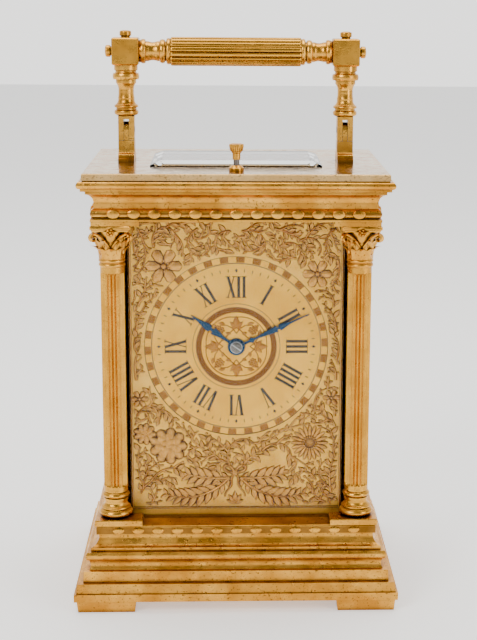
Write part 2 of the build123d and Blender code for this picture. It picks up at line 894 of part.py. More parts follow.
# ---------------------------------------------------------------------------
# Places of the arbors, in the plane of the plates
# ---------------------------------------------------------------------------
def step_from(start, distance, angle):
    """The point a distance from another, at an angle in degrees from +X towards +Z."""
    return (start[0] + distance * cos(radians(angle)), start[1] + distance * sin(radians(angle)))


def mesh_distance(module, wheel, pinion):
    """The distance between two meshing arbors."""
    return module * (wheel + pinion) / 2


barrel_mesh = mesh_distance(barrel_module, barrel_teeth, centre_pinion_teeth)
third_mesh = mesh_distance(train_module, third_teeth, small_pinion_teeth)
centre_at = (0, dial_z)
going_at = (barrel_x, dial_z - (barrel_mesh**2 - barrel_x**2) ** 0.5)
strike_at = (-barrel_x, going_at[1])
third_at = step_from(centre_at, mesh_distance(train_module, centre_teeth, small_pinion_teeth), 60)
contrate_at = (0, third_at[1] + (third_mesh**2 - third_at[0] ** 2) ** 0.5)
second_at = step_from(strike_at, barrel_mesh, 100)
strike_third_at = step_from(second_at, third_mesh, 85)
fly_at = step_from(strike_third_at, mesh_distance(fly_module, strike_third_teeth, small_pinion_teeth), -26)
minute_wheel_at = (0, dial_z - motion_distance)
pillars_at = [(26.5, 42.0), (-26.5, 42.0), (28.0, plate_top - 7.0), (-28.3, plate_top - 7.0)]

# Layers from front to back: each is the rear face of a wheel
motion_y = -20.0
third_y = -11.8
centre_wheel_y = -8.8
great_wheel_y = -4.5
drum_back_y = 11.5
great_wheel_thick = 1.5
strike_wheel_y = drum_back_y + great_wheel_thick
contrate_y = 4.8
ratchet_y = back_plate_y + plate_thick + 1.4
square_end_y = 25.5


def disc(y, centre, radius, bore=0):
    """A round section at the given Y."""
    with BuildSketch(at_y(y)) as section:
        with Locations(centre):
            Circle(radius)
            if bore:
                Circle(bore, mode=Mode.SUBTRACT)
    return section.sketch


def gear(y, centre, teeth, module, phase, bore=0):
    """A toothed section at the given Y."""
    with BuildSketch(at_y(y)) as section:
        with Locations(centre):
            Polygon(*gear_points(teeth, module, phase), align=None)
            if bore:
                Circle(bore, mode=Mode.SUBTRACT)
    return section.sketch


def spindle(centre, radius):
    """An arbor between the plates with a pivot at each end."""
    front = front_plate_y + slide_play
    back = back_plate_y - slide_play
    extrude(disc(back, centre, radius), amount=back - front)
    extrude(disc(back + plate_thick, centre, pivot_radius_small), amount=back - front + 2 * plate_thick)


# ---------------------------------------------------------------------------
# Plates, pillars and screws
# ---------------------------------------------------------------------------
small_arbors = [third_at, contrate_at, second_at, strike_third_at, fly_at]
barrel_pivot = 1.6
arch_half = 19.0
arch_top = 52.0
click_at = (barrel_x - 8.5, going_at[1] - 5.0)
hammer_at = (27.0, 47.0)


def plate_sketch(y):
    """A movement plate with an arched foot and its pivot holes."""
    with BuildSketch(at_y(y)) as section:
        with Locations((0, (plate_top + window_bottom) / 2)):
            Rectangle(2 * plate_half, plate_top - window_bottom)
        with Locations((0, window_bottom)):
            Ellipse(arch_half, arch_top - window_bottom, mode=Mode.SUBTRACT)
        with Locations(*small_arbors):
            Circle(pivot_radius_small + pin_play, mode=Mode.SUBTRACT)
        with Locations(centre_at):
            Circle(arbor_radius + pin_play, mode=Mode.SUBTRACT)
        with Locations(going_at, strike_at):
            Circle(barrel_pivot + pin_play, mode=Mode.SUBTRACT)
    return section.sketch


with BuildPart() as front_plate:
    extrude(plate_sketch(front_plate_y), amount=plate_thick)
    stud_length = front_plate_y - plate_thick - dial_back
    extrude(disc(front_plate_y - plate_thick, lever_pivot, 0.6), amount=stud_length)
    extrude(disc(front_plate_y - plate_thick, minute_wheel_at, 0.6), amount=4.2)
save(front_plate, "front_plate")

with BuildPart() as back_plate:
    extrude(plate_sketch(back_plate_y + plate_thick), amount=plate_thick)
    for side in (1, -1):
        extrude(disc(ratchet_y + 0.4, (side * click_at[0], click_at[1]), 0.7), amount=1.8)
    extrude(disc(ratchet_y + 1.6, hammer_at, 0.8), amount=3.0)
save(back_plate, "back_plate")

with BuildPart() as movement_pillars:
    for place in pillars_at:
        extrude(disc(back_plate_y, place, pillar_radius), amount=back_plate_y - front_plate_y)
save(movement_pillars, "movement_pillars")

with BuildPart() as movement_screws:
    for place in pillars_at:
        extrude(disc(back_plate_y + plate_thick + 1.2, place, 1.9), amount=1.2)
        extrude(disc(front_plate_y - plate_thick, place, 1.9), amount=1.2)
    for place in pillars_at:
        with BuildSketch(at_y(back_plate_y + plate_thick + 1.2)):
            with Locations(place):
                Rectangle(4.0, 0.5, rotation=35)
        extrude(amount=0.5, mode=Mode.SUBTRACT)
save(movement_screws, "movement_screws")

# ---------------------------------------------------------------------------
# Going train
# ---------------------------------------------------------------------------
def barrel(centre, follower_at, wheel_y):
    """A spring barrel with its great wheel, and the coiled mainspring inside it."""
    bore = barrel_pivot + 0.6
    inside = drum_back_y - great_wheel_y - 2 * barrel_wall
    with BuildPart() as drum:
        teeth = gear(wheel_y, centre, barrel_teeth, barrel_module, toward(centre, follower_at), bore)
        extrude(teeth, amount=great_wheel_thick)
        extrude(disc(drum_back_y, centre, barrel_radius, bore), amount=drum_back_y - great_wheel_y)
        hollow = disc(drum_back_y - barrel_wall, centre, barrel_radius - barrel_wall, bore + 1.0)
        extrude(hollow, amount=inside, mode=Mode.SUBTRACT)
        spring_outside = barrel_radius - barrel_wall - leaf_gap
        spring = disc(drum_back_y - barrel_wall - leaf_gap, centre, spring_outside, spring_outside - 3.8)
        extrude(spring, amount=inside - 2 * leaf_gap)
    return drum


def winding_arbor(centre):
    """A barrel arbor, its ratchet wheel behind the back plate and its winding square."""
    with BuildPart() as arbor:
        between_plates = back_plate_y - front_plate_y - slide_play
        extrude(disc(back_plate_y, centre, barrel_pivot + 0.5), amount=between_plates)
        extrude(disc(ratchet_y, centre, barrel_pivot), amount=ratchet_y - front_plate_y + plate_thick)
        extrude(gear(ratchet_y, centre, 20, 0.5, 0), amount=1.2)
        with BuildSketch(at_y(square_end_y)):
            with Locations(centre):
                Rectangle(2.7, 2.7)
        extrude(amount=square_end_y - ratchet_y)
    return arbor


def click(side):
    """A spring click whose beak rides on the tips of the ratchet teeth."""
    start = (side * click_at[0], click_at[1])
    beak = step_from((side * barrel_x, going_at[1]), 6.2, 235 if side > 0 else 305)
    with BuildPart() as pawl:
        with BuildSketch(at_y(ratchet_y)):
            with BuildLine():
                Line(start, beak)
            trace(line_width=1.4)
            with Locations(beak):
                Circle(0.7)
            with Locations(start):
                Circle(1.7)
                Circle(0.7 + pin_play, mode=Mode.SUBTRACT)
        extrude(amount=1.2)
    return pawl


save(barrel(going_at, centre_at, great_wheel_y), "going_barrel")
save(barrel(strike_at, second_at, strike_wheel_y), "strike_barrel")
save(winding_arbor(going_at), "going_winding_arbor")
save(winding_arbor(strike_at), "strike_winding_arbor")
save(click(1), "going_click")
save(click(-1), "strike_click")

with BuildPart() as centre_wheel:
    pipe_bore = arbor_radius + pin_play
    phase = gap_phase(centre_pinion_teeth, toward(centre_at, going_at))
    pinion = gear(great_wheel_y, centre_at, centre_pinion_teeth, barrel_module, phase, pipe_bore)
    extrude(pinion, amount=great_wheel_thick)
    pipe_front = great_wheel_y - great_wheel_thick
    extrude(disc(pipe_front, centre_at, 1.9, pipe_bore), amount=pipe_front - centre_wheel_y)
    phase = toward(centre_at, third_at)
    extrude(gear(centre_wheel_y, centre_at, centre_teeth, train_module, phase, pipe_bore), amount=wheel_thick)
save(centre_wheel, "centre_wheel")

collet_y = minute_hand_y - 0.6
arbor_back_y = back_plate_y + plate_thick + 0.6
with BuildPart() as centre_arbor:
    extrude(disc(arbor_back_y, centre_at, arbor_radius), amount=arbor_back_y - collet_y)
    extrude(gear(motion_y, centre_at, cannon_teeth, cannon_module, 90), amount=wheel_thick)
    extrude(disc(minute_hand_y, centre_at, 2.2), amount=0.6)
    with BuildSketch(at_y(square_end_y)):
        with Locations(centre_at):
            Rectangle(1.9, 1.9)
    extrude(amount=square_end_y - arbor_back_y)
save(centre_arbor, "centre_arbor")

with BuildPart() as third_wheel:
    spindle(third_at, 0.9)
    phase = gap_phase(small_pinion_teeth, toward(third_at, centre_at))
    extrude(gear(centre_wheel_y, third_at, small_pinion_teeth, train_module, phase), amount=wheel_thick)
    phase = toward(third_at, contrate_at)
    extrude(gear(third_y, third_at, third_teeth, train_module, phase), amount=wheel_thick)
save(third_wheel, "third_wheel")

# The contrate wheel carries its teeth on its rear face and turns the upright escape arbor.
with BuildPart() as contrate_wheel:
    spindle(contrate_at, 0.8)
    phase = gap_phase(small_pinion_teeth, toward(contrate_at, third_at))
    extrude(gear(third_y, contrate_at, small_pinion_teeth, train_module, phase), amount=wheel_thick)
    extrude(disc(contrate_y, contrate_at, contrate_radius + 0.4), amount=0.8)
    with BuildSketch(at_y(contrate_y + 1.0)):
        with Locations(contrate_at):
            with PolarLocations(contrate_radius, contrate_teeth, start_angle=90):
                Rectangle(0.8, 0.3)
    extrude(amount=1.0)
save(contrate_wheel, "contrate_wheel")

# ---------------------------------------------------------------------------
# Platform escapement
# ---------------------------------------------------------------------------
platform_half = 16.0
platform_thick = 1.2
platform_top = plate_top + platform_thick
escape_y = contrate_y + 1.0 - 0.15 + 1.05
escape_radius = 3.6
escape_foot = contrate_at[1] + contrate_radius - 0.7
lever_z = platform_top + 1.2
pallet_y = escape_y - 5.9
balance_y = pallet_y - 7.4
balance_z = platform_top + 4.2
balance_radius = 7.4
cock_z = balance_z + 2.2


def rod_up(foot, place, radius, height):
    """An upright cylinder."""
    with BuildSketch(Plane.XY.offset(foot)) as section:
        with Locations(place):
            Circle(radius)
    extrude(section.sketch, amount=height)


with BuildPart() as platform_plate:
    with BuildSketch(Plane.XY.offset(plate_top)):
        with Locations((0, (front_plate_y + back_plate_y) / 2)):
            RectangleRounded(2 * platform_half, back_plate_y - front_plate_y + 2 * plate_thick, 3.0)
        with Locations((0, escape_y)):
            Circle(1.6, mode=Mode.SUBTRACT)
    extrude(amount=platform_thick)
save(platform_plate, "platform_plate")

with BuildPart() as escape_wheel:
    rod_up(escape_foot, (0, escape_y), 0.45, lever_z + 2.0 - escape_foot)
    with BuildSketch(Plane.XY.offset(escape_foot + 0.1)):
        with Locations((0, escape_y)):
            Polygon(*gear_points(escape_pinion_teeth, 0.28, 0), align=None)
    extrude(amount=1.3)
    with BuildSketch(Plane.XY.offset(lever_z)):
        with Locations((0, escape_y)):
            Circle(escape_radius - 0.9)
            with PolarLocations(escape_radius - 0.6, 15):
                Rectangle(1.2, 0.35)
    extrude(amount=0.5)
save(escape_wheel, "escape_wheel")

pin_radius = 0.25
pin_orbit = 1.2
with BuildPart() as pallet_lever:
    with BuildSketch(Plane.XY.offset(lever_z)):
        with BuildLine():
            Polyline((-3.2, pallet_y + 2.85), (0, pallet_y), (3.2, pallet_y + 2.85))
            Line((0, pallet_y), (0, balance_y + pin_orbit + 0.5))
        trace(line_width=0.8)
        with Locations((0, balance_y + pin_orbit)):
            Rectangle(2.0, 1.4)
        with Locations((0, balance_y + pin_orbit - 0.4)):
            Rectangle(2 * pin_radius + 0.3, 1.4, mode=Mode.SUBTRACT)
        with Locations((-3.2, pallet_y + 2.85), (3.2, pallet_y + 2.85)):
            Circle(0.35)
        with Locations((0, pallet_y)):
            Circle(0.8)
    extrude(amount=0.6)
    rod_up(platform_top + slide_play, (0, pallet_y), 0.3, 3.0)
save(pallet_lever, "pallet_lever")

with BuildPart() as balance_wheel:
    with BuildSketch(Plane.XY.offset(balance_z)):
        with Locations((0, balance_y)):
            Circle(balance_radius)
            Circle(balance_radius - 0.9, mode=Mode.SUBTRACT)
            Rectangle(2 * balance_radius - 1.0, 1.0)
            Circle(1.2)
    extrude(amount=0.9)
    rod_up(lever_z + 0.9, (0, balance_y), pin_orbit + 0.5, 0.5)
    rod_up(lever_z - 0.1, (0, balance_y + pin_orbit), pin_radius, 1.2)
    rod_up(platform_top + slide_play, (0, balance_y), 0.3, cock_z - platform_top - 2 * slide_play)
    with BuildSketch(Plane.XY.offset(balance_z + 1.2)):
        with Locations((0, balance_y)):
            for turn in range(6):
                Circle(0.9 + 0.5 * turn + 0.1)
                Circle(0.9 + 0.5 * turn, mode=Mode.SUBTRACT)
            Rectangle(5.6, 0.2)
    extrude(amount=0.4)
save(balance_wheel, "balance_wheel")

cock_x = balance_radius + 3.6
with BuildPart() as balance_cock:
    with BuildSketch(Plane.XY.offset(platform_top)):
        with Locations((cock_x, balance_y)):
            Rectangle(4.4, 7.0)
    extrude(amount=cock_z - platform_top)
    with BuildSketch(Plane.XY.offset(cock_z)):
        with Locations((cock_x, balance_y)):
            Rectangle(4.4, 7.0)
        with Locations((cock_x / 2, balance_y)):
            Rectangle(cock_x, 3.6)
        with Locations((0, balance_y)):
            Circle(2.6)
    extrude(amount=1.2)
    rod_up(cock_z + 1.2, (0, balance_y), 0.9, 0.8)
save(balance_cock, "balance_cock")

with BuildPart() as regulator_index:
    with BuildSketch(Plane.XY.offset(cock_z + 1.2 + slide_play)):
        with Locations((0, balance_y)):
            Circle(1.8)
        with Locations((-3.6, balance_y)):
            Rectangle(7.2, 0.8)
        with Locations((0, balance_y)):
            Circle(0.9 + pin_play, mode=Mode.SUBTRACT)
    extrude(amount=0.5)
save(regulator_index, "regulator_index")

# ---------------------------------------------------------------------------
# Motion work
# ---------------------------------------------------------------------------
hour_module = 2 * motion_distance / (hour_wheel_teeth + minute_pinion_teeth)
hour_wheel_y = motion_y - wheel_thick - 0.4

with BuildPart() as minute_wheel:
    phase = gap_phase(minute_wheel_teeth, 90)
    stud_bore = 0.6 + pin_play
    wheel = gear(motion_y, minute_wheel_at, minute_wheel_teeth, cannon_module, phase, stud_bore)
    extrude(wheel, amount=wheel_thick)
    extrude(disc(motion_y - wheel_thick, minute_wheel_at, 1.1, stud_bore), amount=0.4)
    pinion = gear(hour_wheel_y, minute_wheel_at, minute_pinion_teeth, hour_module, 90, stud_bore)
    extrude(pinion, amount=wheel_thick)
save(minute_wheel, "minute_wheel")

with BuildPart() as hour_wheel:
    phase = gap_phase(hour_wheel_teeth, -90)
    pipe_bore = arbor_radius + pin_play
    wheel = gear(hour_wheel_y, centre_at, hour_wheel_teeth, hour_module, phase, pipe_bore)
    extrude(wheel, amount=wheel_thick)
    tube_length = hour_wheel_y - hour_hand_y + 0.1
    extrude(disc(hour_wheel_y, centre_at, hour_tube_radius, pipe_bore), amount=tube_length)
save(hour_wheel, "hour_wheel")

# ---------------------------------------------------------------------------
# Strike train, hammer and gong
# ---------------------------------------------------------------------------
with BuildPart() as strike_second_wheel:
    spindle(second_at, 0.9)
    phase = gap_phase(centre_pinion_teeth, toward(second_at, strike_at))
    pinion = gear(strike_wheel_y, second_at, centre_pinion_teeth, barrel_module, phase)
    extrude(pinion, amount=great_wheel_thick)
    phase = toward(second_at, strike_third_at)
    extrude(gear(third_y, second_at, third_teeth, train_module, phase), amount=wheel_thick)
save(strike_second_wheel, "strike_second_wheel")

with BuildPart() as strike_third_wheel:
    spindle(strike_third_at, 0.8)
    phase = gap_phase(small_pinion_teeth, toward(strike_third_at, second_at))
    extrude(gear(third_y, strike_third_at, small_pinion_teeth, train_module, phase), amount=wheel_thick)
    phase = toward(strike_third_at, fly_at)
    extrude(gear(centre_wheel_y, strike_third_at, strike_third_teeth, fly_module, phase), amount=wheel_thick)
save(strike_third_wheel, "strike_third_wheel")

with BuildPart() as fly:
    spindle(fly_at, 0.7)
    phase = gap_phase(small_pinion_teeth, toward(fly_at, strike_third_at))
    extrude(gear(centre_wheel_y, fly_at, small_pinion_teeth, fly_module, phase), amount=wheel_thick)
    with BuildSketch(at_y(2.5)):
        with Locations(fly_at):
            Rectangle(10.0, 0.5)
    extrude(amount=9.5)
save(fly, "fly")

# The gong is a flat coil: half rings about two middles half a pitch apart.
gong_middle = (0, 84.0)
gong_radius = 24.0
gong_pitch = 2.2
gong_wire = 1.2
gong_y = ratchet_y + 1.6

with BuildPart() as gong:
    for turn in range(4):
        radius = gong_radius + turn * gong_pitch / 2
        upper = turn % 2 == 0
        shift = 0 if upper else gong_pitch / 2
        with BuildSketch(at_y(gong_y)):
            with Locations((gong_middle[0] + shift, gong_middle[1])):
                Circle(radius + gong_wire / 2)
                Circle(radius - gong_wire / 2, mode=Mode.SUBTRACT)
            with Locations((0, gong_middle[1] - (1 if upper else -1) * 2 * gong_radius)):
                Rectangle(6 * gong_radius, 4 * gong_radius, mode=Mode.SUBTRACT)
        extrude(amount=1.4)
    block_x = gong_pitch / 2 - gong_radius - 3 * gong_pitch / 2
    with BuildSketch(at_y(gong_y)):
        with Locations((block_x, gong_middle[1] + 2.5)):
            Rectangle(4.0, 5.0)
    extrude(amount=gong_y - back_plate_y - plate_thick)
save(gong, "gong")

head_at = step_from(gong_middle, gong_radius + 1.5 * gong_pitch + gong_wire / 2 + 3.6, -46)
with BuildPart() as hammer:
    with BuildSketch(at_y(gong_y)):
        with BuildLine():
            Line(hammer_at, head_at)
        trace(line_width=1.4)
        with Locations(head_at):
            Circle(2.4)
        with Locations(hammer_at):
            Circle(1.8)
            Circle(0.8 + pin_play, mode=Mode.SUBTRACT)
    extrude(amount=1.4)
save(hammer, "hammer")
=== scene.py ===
# %% [markdown]
# # A gilt brass carriage clock
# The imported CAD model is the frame: it fixes every size and every joint. This lesson dresses it. Some CAD
# parts keep their shape and get a finish, and others are replaced by a richer mesh in the same place.

# %% Load the frame
import bmesh
import bpy
import json
import random
from math import atan2, copysign, cos, degrees, hypot, pi, radians, sin, sqrt
from mathutils import Matrix, Vector

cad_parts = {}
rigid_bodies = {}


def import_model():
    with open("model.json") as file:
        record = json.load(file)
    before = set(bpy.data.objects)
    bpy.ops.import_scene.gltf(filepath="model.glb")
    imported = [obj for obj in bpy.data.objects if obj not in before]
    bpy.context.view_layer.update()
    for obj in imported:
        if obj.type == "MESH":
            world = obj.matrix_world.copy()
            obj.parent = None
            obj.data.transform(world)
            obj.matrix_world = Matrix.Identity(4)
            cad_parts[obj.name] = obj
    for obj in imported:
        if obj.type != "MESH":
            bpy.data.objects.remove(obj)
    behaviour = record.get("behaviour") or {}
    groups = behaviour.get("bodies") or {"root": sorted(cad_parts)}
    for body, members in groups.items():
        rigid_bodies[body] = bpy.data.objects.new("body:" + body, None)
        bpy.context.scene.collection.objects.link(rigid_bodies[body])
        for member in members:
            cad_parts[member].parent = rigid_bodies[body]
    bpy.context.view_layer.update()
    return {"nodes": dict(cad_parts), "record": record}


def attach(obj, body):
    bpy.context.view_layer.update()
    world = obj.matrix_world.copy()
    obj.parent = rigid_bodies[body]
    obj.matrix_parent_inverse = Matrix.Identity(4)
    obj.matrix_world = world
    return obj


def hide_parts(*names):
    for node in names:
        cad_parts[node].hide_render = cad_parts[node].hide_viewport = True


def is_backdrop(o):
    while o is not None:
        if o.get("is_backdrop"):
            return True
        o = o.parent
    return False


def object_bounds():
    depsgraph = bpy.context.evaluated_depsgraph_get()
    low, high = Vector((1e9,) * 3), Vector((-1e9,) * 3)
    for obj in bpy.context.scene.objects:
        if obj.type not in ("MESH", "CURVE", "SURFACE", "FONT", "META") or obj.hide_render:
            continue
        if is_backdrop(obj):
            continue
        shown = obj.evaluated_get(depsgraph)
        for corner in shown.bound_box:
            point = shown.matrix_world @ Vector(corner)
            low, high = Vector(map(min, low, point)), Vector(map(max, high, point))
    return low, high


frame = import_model()
nodes = frame["nodes"]
MM = 0.001

# %% [markdown]
# ## Small helpers
# Every piece stands at the origin without a turn, so that it shares the model's frame. The finishes, the room
# and the floor are built from shader nodes, so one helper adds a node and another feeds its inputs.

# %% Small helpers
def placed(name, data):
    """A new object in the scene, standing at the origin."""
    thing = bpy.data.objects.new(name, data)
    bpy.context.collection.objects.link(thing)
    return thing


def feed(tree, node, **inputs):
    """Give each named input a value, or link it to a socket. An underscore stands for a space in its name."""
    for label, value in inputs.items():
        target = node.inputs[label.replace("_", " ")]
        if isinstance(value, bpy.types.NodeSocket):
            tree.links.new(value, target)
        else:
            target.default_value = value


def add(tree, kind, out, **inputs):
    """Add a shader node, feed it and give back one of its outputs."""
    node = tree.nodes.new("ShaderNode" + kind)
    feed(tree, node, **inputs)
    return node.outputs[out]


def new_finish(name):
    """A new material, with its node tree and its Principled shader."""
    finish = bpy.data.materials.new(name)
    finish.use_nodes = True
    return finish, finish.node_tree, finish.node_tree.nodes["Principled BSDF"]


# %% [markdown]
# ## Camera
# The camera stands a little above the clock and looks down on it, nearly square to the dial. Its angles are
# set as yaw, pitch and roll, and turned into a matrix, because that says where it looks more plainly than
# three Euler angles would.

# %% Camera
camera_data = bpy.data.cameras.new("camera")
camera = placed("camera", camera_data)
bpy.context.scene.camera = camera
eye = (-0.00312, -0.5763, 0.22754)
yaw, pitch, roll = 0.0412, 0.2164, 0.0079
forward = Vector((sin(yaw) * cos(pitch), cos(yaw) * cos(pitch), -sin(pitch)))
level = Vector((cos(yaw), -sin(yaw), 0))
right = level * cos(roll) + level.cross(forward) * sin(roll)
turn = Matrix((right, right.cross(forward), -forward)).transposed().to_4x4()
camera.matrix_world = Matrix.Translation(eye) @ turn
camera_data.sensor_width = 36
camera_data.lens = 85.46
camera_data.shift_x = -0.079
camera_data.clip_start = 0.01
print("camera looks along", [round(v, 3) for v in forward])

# %% [markdown]
# ## Light and floor
# Polished gilding mirrors what stands round it, so it is lit by broad soft panels and a pale room. The room
# is dimmer in front than behind, which gives the edges their dark lines.

# %% Light and floor
world = bpy.data.worlds.new("studio")
bpy.context.scene.world = world
world.use_nodes = True
room = world.node_tree
depth = add(room, "SeparateXYZ", "Y", Vector=add(room, "TexCoord", "Generated"))
brightness = add(room, "MapRange", "Result", Value=depth, From_Min=-0.4, From_Max=0.95, To_Min=0.3,
                 To_Max=2.0)
feed(room, room.nodes["Background"], Color=(1.0, 0.99, 0.97, 1), Strength=brightness)

clock_middle = Vector((0, 0, 0.1))
for name, place, wide, high, power in (
    ("key_panel", (-0.7, -0.8, 0.75), 0.5, 0.6, 9),
    ("fill_panel", (0.8, -0.6, 0.4), 0.35, 0.8, 4.5),
    ("top_panel", (0.0, 0.1, 1.0), 0.8, 0.5, 6),
):
    panel = bpy.data.lights.new(name, "AREA")
    panel.shape = "RECTANGLE"
    panel.size = wide
    panel.size_y = high
    panel.energy = power
    panel.color = (1, 0.97, 0.92)
    light = placed(name, panel)
    light.location = place
    light.rotation_euler = (clock_middle - Vector(place)).to_track_quat("-Z", "Y").to_euler()

floor_mesh = bpy.data.meshes.new("floor")
floor_mesh.from_pydata([(-3, -3, 0), (3, -3, 0), (3, 3, 0), (-3, 3, 0)], [], [(0, 1, 2, 3)])
floor = placed("floor", floor_mesh)
floor_finish, tree, shader = new_finish("pale_floor")
feed(tree, shader, Base_Color=(0.92, 0.92, 0.91, 1), Roughness=0.9, Emission_Color=(1, 1, 1, 1),
     Emission_Strength=0.55)
floor_mesh.materials.append(floor_finish)
floor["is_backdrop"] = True
print("lights", len(bpy.data.lights), "and a floor", tuple(floor.dimensions))

# %% [markdown]
# ## Finishes
# Old fire gilding is not one colour. It is pale and bright where hands rub it, browner where it is not
# cleaned, and pitted where the casting was porous. Its grooves are darkened nearly to black with painted
# shade. One function builds all the brasses from the same layers, and each finish sets its own strengths.

# %% Finish helpers
def noise(tree, scale, detail=4.0):
    """Noise on object coordinates. The scale is in cells to the metre."""
    return add(tree, "TexNoise", "Fac", Scale=scale, Detail=detail, Vector=add(tree, "TexCoord", "Object"))


def ramp(tree, source, low, high, colour_low=(0, 0, 0), colour_high=(1, 1, 1)):
    """A colour ramp between two stops."""
    colour = add(tree, "ValToRGB", "Color", Fac=source)
    for stop, place, shade in zip(colour.node.color_ramp.elements, (low, high), (colour_low, colour_high)):
        stop.position = place
        stop.color = (*shade, 1)
    return colour


def blend_colour(tree, amount, first, second):
    """Mix two colours by an amount. Each of the three is a socket or a plain value."""
    node = tree.nodes.new("ShaderNodeMix")
    node.data_type = "RGBA"
    for index, value in ((0, amount), (6, first), (7, second)):
        if isinstance(value, bpy.types.NodeSocket):
            tree.links.new(value, node.inputs[index])
        else:
            node.inputs[index].default_value = (*value, 1) if index else value
    return node.outputs[2]


def recess_shade(tree, reach, low, high):
    """Painted shade: white in the open, black where other surfaces stand close."""
    shade = add(tree, "AmbientOcclusion", "AO", Distance=reach)
    shade.node.samples = 8
    return ramp(tree, shade, low, high)


def brass(name, bright, deep, pit_and_shade_colour, rough, pits, reach=0.004):
    """A gilt or lacquered brass, with painted shade in its recesses and pits in its skin."""
    finish, tree, shader = new_finish(name)
    colour = blend_colour(tree, ramp(tree, noise(tree, 90, 5.0), 0.38, 0.66), deep, bright)
    specks = ramp(tree, noise(tree, 1300, 3.0), 0.30, 0.40)
    colour = blend_colour(tree, pits, colour, blend_colour(tree, specks, pit_and_shade_colour, colour))
    # Painted shade: the dark colour is laid wherever other surfaces stand close.
    colour = blend_colour(tree, recess_shade(tree, reach, 0.25, 0.85), pit_and_shade_colour, colour)
    wear = ramp(tree, noise(tree, 260), 0.3, 0.7, (rough + 0.16,) * 3, (rough - 0.06,) * 3)
    skin = add(tree, "Bump", "Normal", Strength=0.25 * pits + 0.05, Distance=0.0004, Height=specks)
    feed(tree, shader, Base_Color=colour, Metallic=1.0, Roughness=wear, Normal=skin)
    return finish


# %% [markdown]
# ## The metals, the glass and the wax
# The case is gilt, the movement plates are lacquered brass, the hands and screws are blued steel and the
# figures are filled with wax. Each brass has three colours: rubbed, tarnished, and a dark one that fills its
# pits and is laid in its grooves as painted shade. Then come its roughness, its pitting and how far that
# painted shade reaches.

# %% Finishes for the metals, the glass and the wax
# The third colour of each brass fills its pits and is its painted shade in the grooves.
gilt = brass("gilt_brass", (0.74, 0.38, 0.055), (0.56, 0.25, 0.026), (0.10, 0.032, 0.004),
             0.25, 0.5, 0.0025)
gilt_worn = brass("gilt_brass_worn", (0.77, 0.39, 0.055), (0.52, 0.22, 0.02), (0.10, 0.032, 0.004),
                  0.29, 0.8, 0.0024)
gilt_smooth = brass("gilt_brass_smooth", (0.66, 0.33, 0.04), (0.54, 0.25, 0.025), (0.07, 0.022, 0.002),
                    0.24, 0.2, 0.0011)
plate_brass = brass("plate_brass", (0.80, 0.56, 0.22), (0.70, 0.44, 0.14), (0.2, 0.1, 0.03), 0.3, 0.1)
top_finish = brass("polished_top", (0.62, 0.40, 0.16), (0.50, 0.29, 0.09), (0.16, 0.07, 0.02), 0.12, 0.4)
dial_gold = brass("dial_gold", (0.96, 0.52, 0.065), (0.86, 0.43, 0.04), (0.20, 0.09, 0.015),
                  0.42, 0.2, 0.0015)
matt_ground = brass("matt_ground", (0.97, 0.57, 0.10), (0.88, 0.48, 0.065), (0.15, 0.06, 0.012),
                    0.5, 0.3, 0.0012)
# A dark brass that is painted shade, for the channels behind the beads and studs.
painted_channel_shade = brass("painted_channel_shade", (0.30, 0.14, 0.025), (0.20, 0.085, 0.012), (0.06, 0.02, 0.003),
                      0.4, 0.4)


def grained(name, scale, detail, dark, light, rough, metal=0.0):
    """A plain finish with a fine grain between two colours."""
    finish, tree, shader = new_finish(name)
    grain = ramp(tree, noise(tree, scale, detail), 0.3, 0.7, dark, light)
    feed(tree, shader, Base_Color=grain, Metallic=metal, Roughness=rough)
    return finish


def steel(name, colour, rough):
    """Steel, bright or blued."""
    return grained(name, 2200, 2.0, tuple(v * 0.65 for v in colour), colour, rough, 1.0)


bright_steel = steel("bright_steel", (0.55, 0.55, 0.56), 0.28)
dark_steel = steel("dark_steel", (0.20, 0.18, 0.17), 0.4)
blued_steel = steel("blued_steel", (0.022, 0.058, 0.12), 0.32)
ink = grained("numeral_wax", 1800, 3.0, (0.018, 0.010, 0.008), (0.05, 0.03, 0.022), 0.45)
line_wax = grained("line_wax", 1500, 3.0, (0.16, 0.08, 0.03), (0.26, 0.14, 0.05), 0.5)

glass, tree, shader = new_finish("bevelled_glass")
smears = ramp(tree, noise(tree, 40, 3.0), 0.35, 0.7, (0, 0, 0), (0.035, 0.035, 0.035))
feed(tree, shader, Base_Color=(0.97, 0.99, 0.975, 1), Transmission_Weight=1.0, IOR=1.18, Roughness=smears)
print("finishes so far", len(bpy.data.materials))

# %% [markdown]
# The relief is copper-gilt, with painted shade along its outlines. Its finish reads how far each spot stands
# in
# front of the ground: painted shade at the foot, rosy on the crest.

# %% Relief finish
def relief_finish(name, crest, side, dark, foot_y, rise):
    """A copper gilding with painted shade at its foot, which lightens as it stands forward."""
    finish, tree, shader = new_finish(name)
    forward = add(tree, "SeparateXYZ", "Y", Vector=add(tree, "TexCoord", "Object"))
    crest_y = foot_y - rise
    height = add(tree, "MapRange", "Result", Value=forward, From_Min=foot_y * MM, From_Max=crest_y * MM)
    tint = blend_colour(tree, ramp(tree, noise(tree, 500), 0.35, 0.65), side, crest)
    # Painted shade: darker towards the foot of the relief, and darker again where other surfaces stand close.
    colour = blend_colour(tree, ramp(tree, height, 0.3, 1.0), dark, tint)
    colour = blend_colour(tree, recess_shade(tree, 0.0012, 0.3, 0.9), dark, colour)
    feed(tree, shader, Base_Color=colour, Metallic=0.95, Roughness=0.42)
    return finish


# The third colour of each relief is its painted shade, at the foot and in the recesses.
copper_relief = relief_finish("copper_relief", (0.72, 0.36, 0.075), (0.58, 0.26, 0.045),
                              (0.085, 0.028, 0.010), -27.62, 0.36)
centre_relief = relief_finish("centre_relief", (0.50, 0.21, 0.035), (0.38, 0.14, 0.02),
                              (0.14, 0.05, 0.012), -27.2, 0.09)
print("relief finishes", copper_relief.name, centre_relief.name)

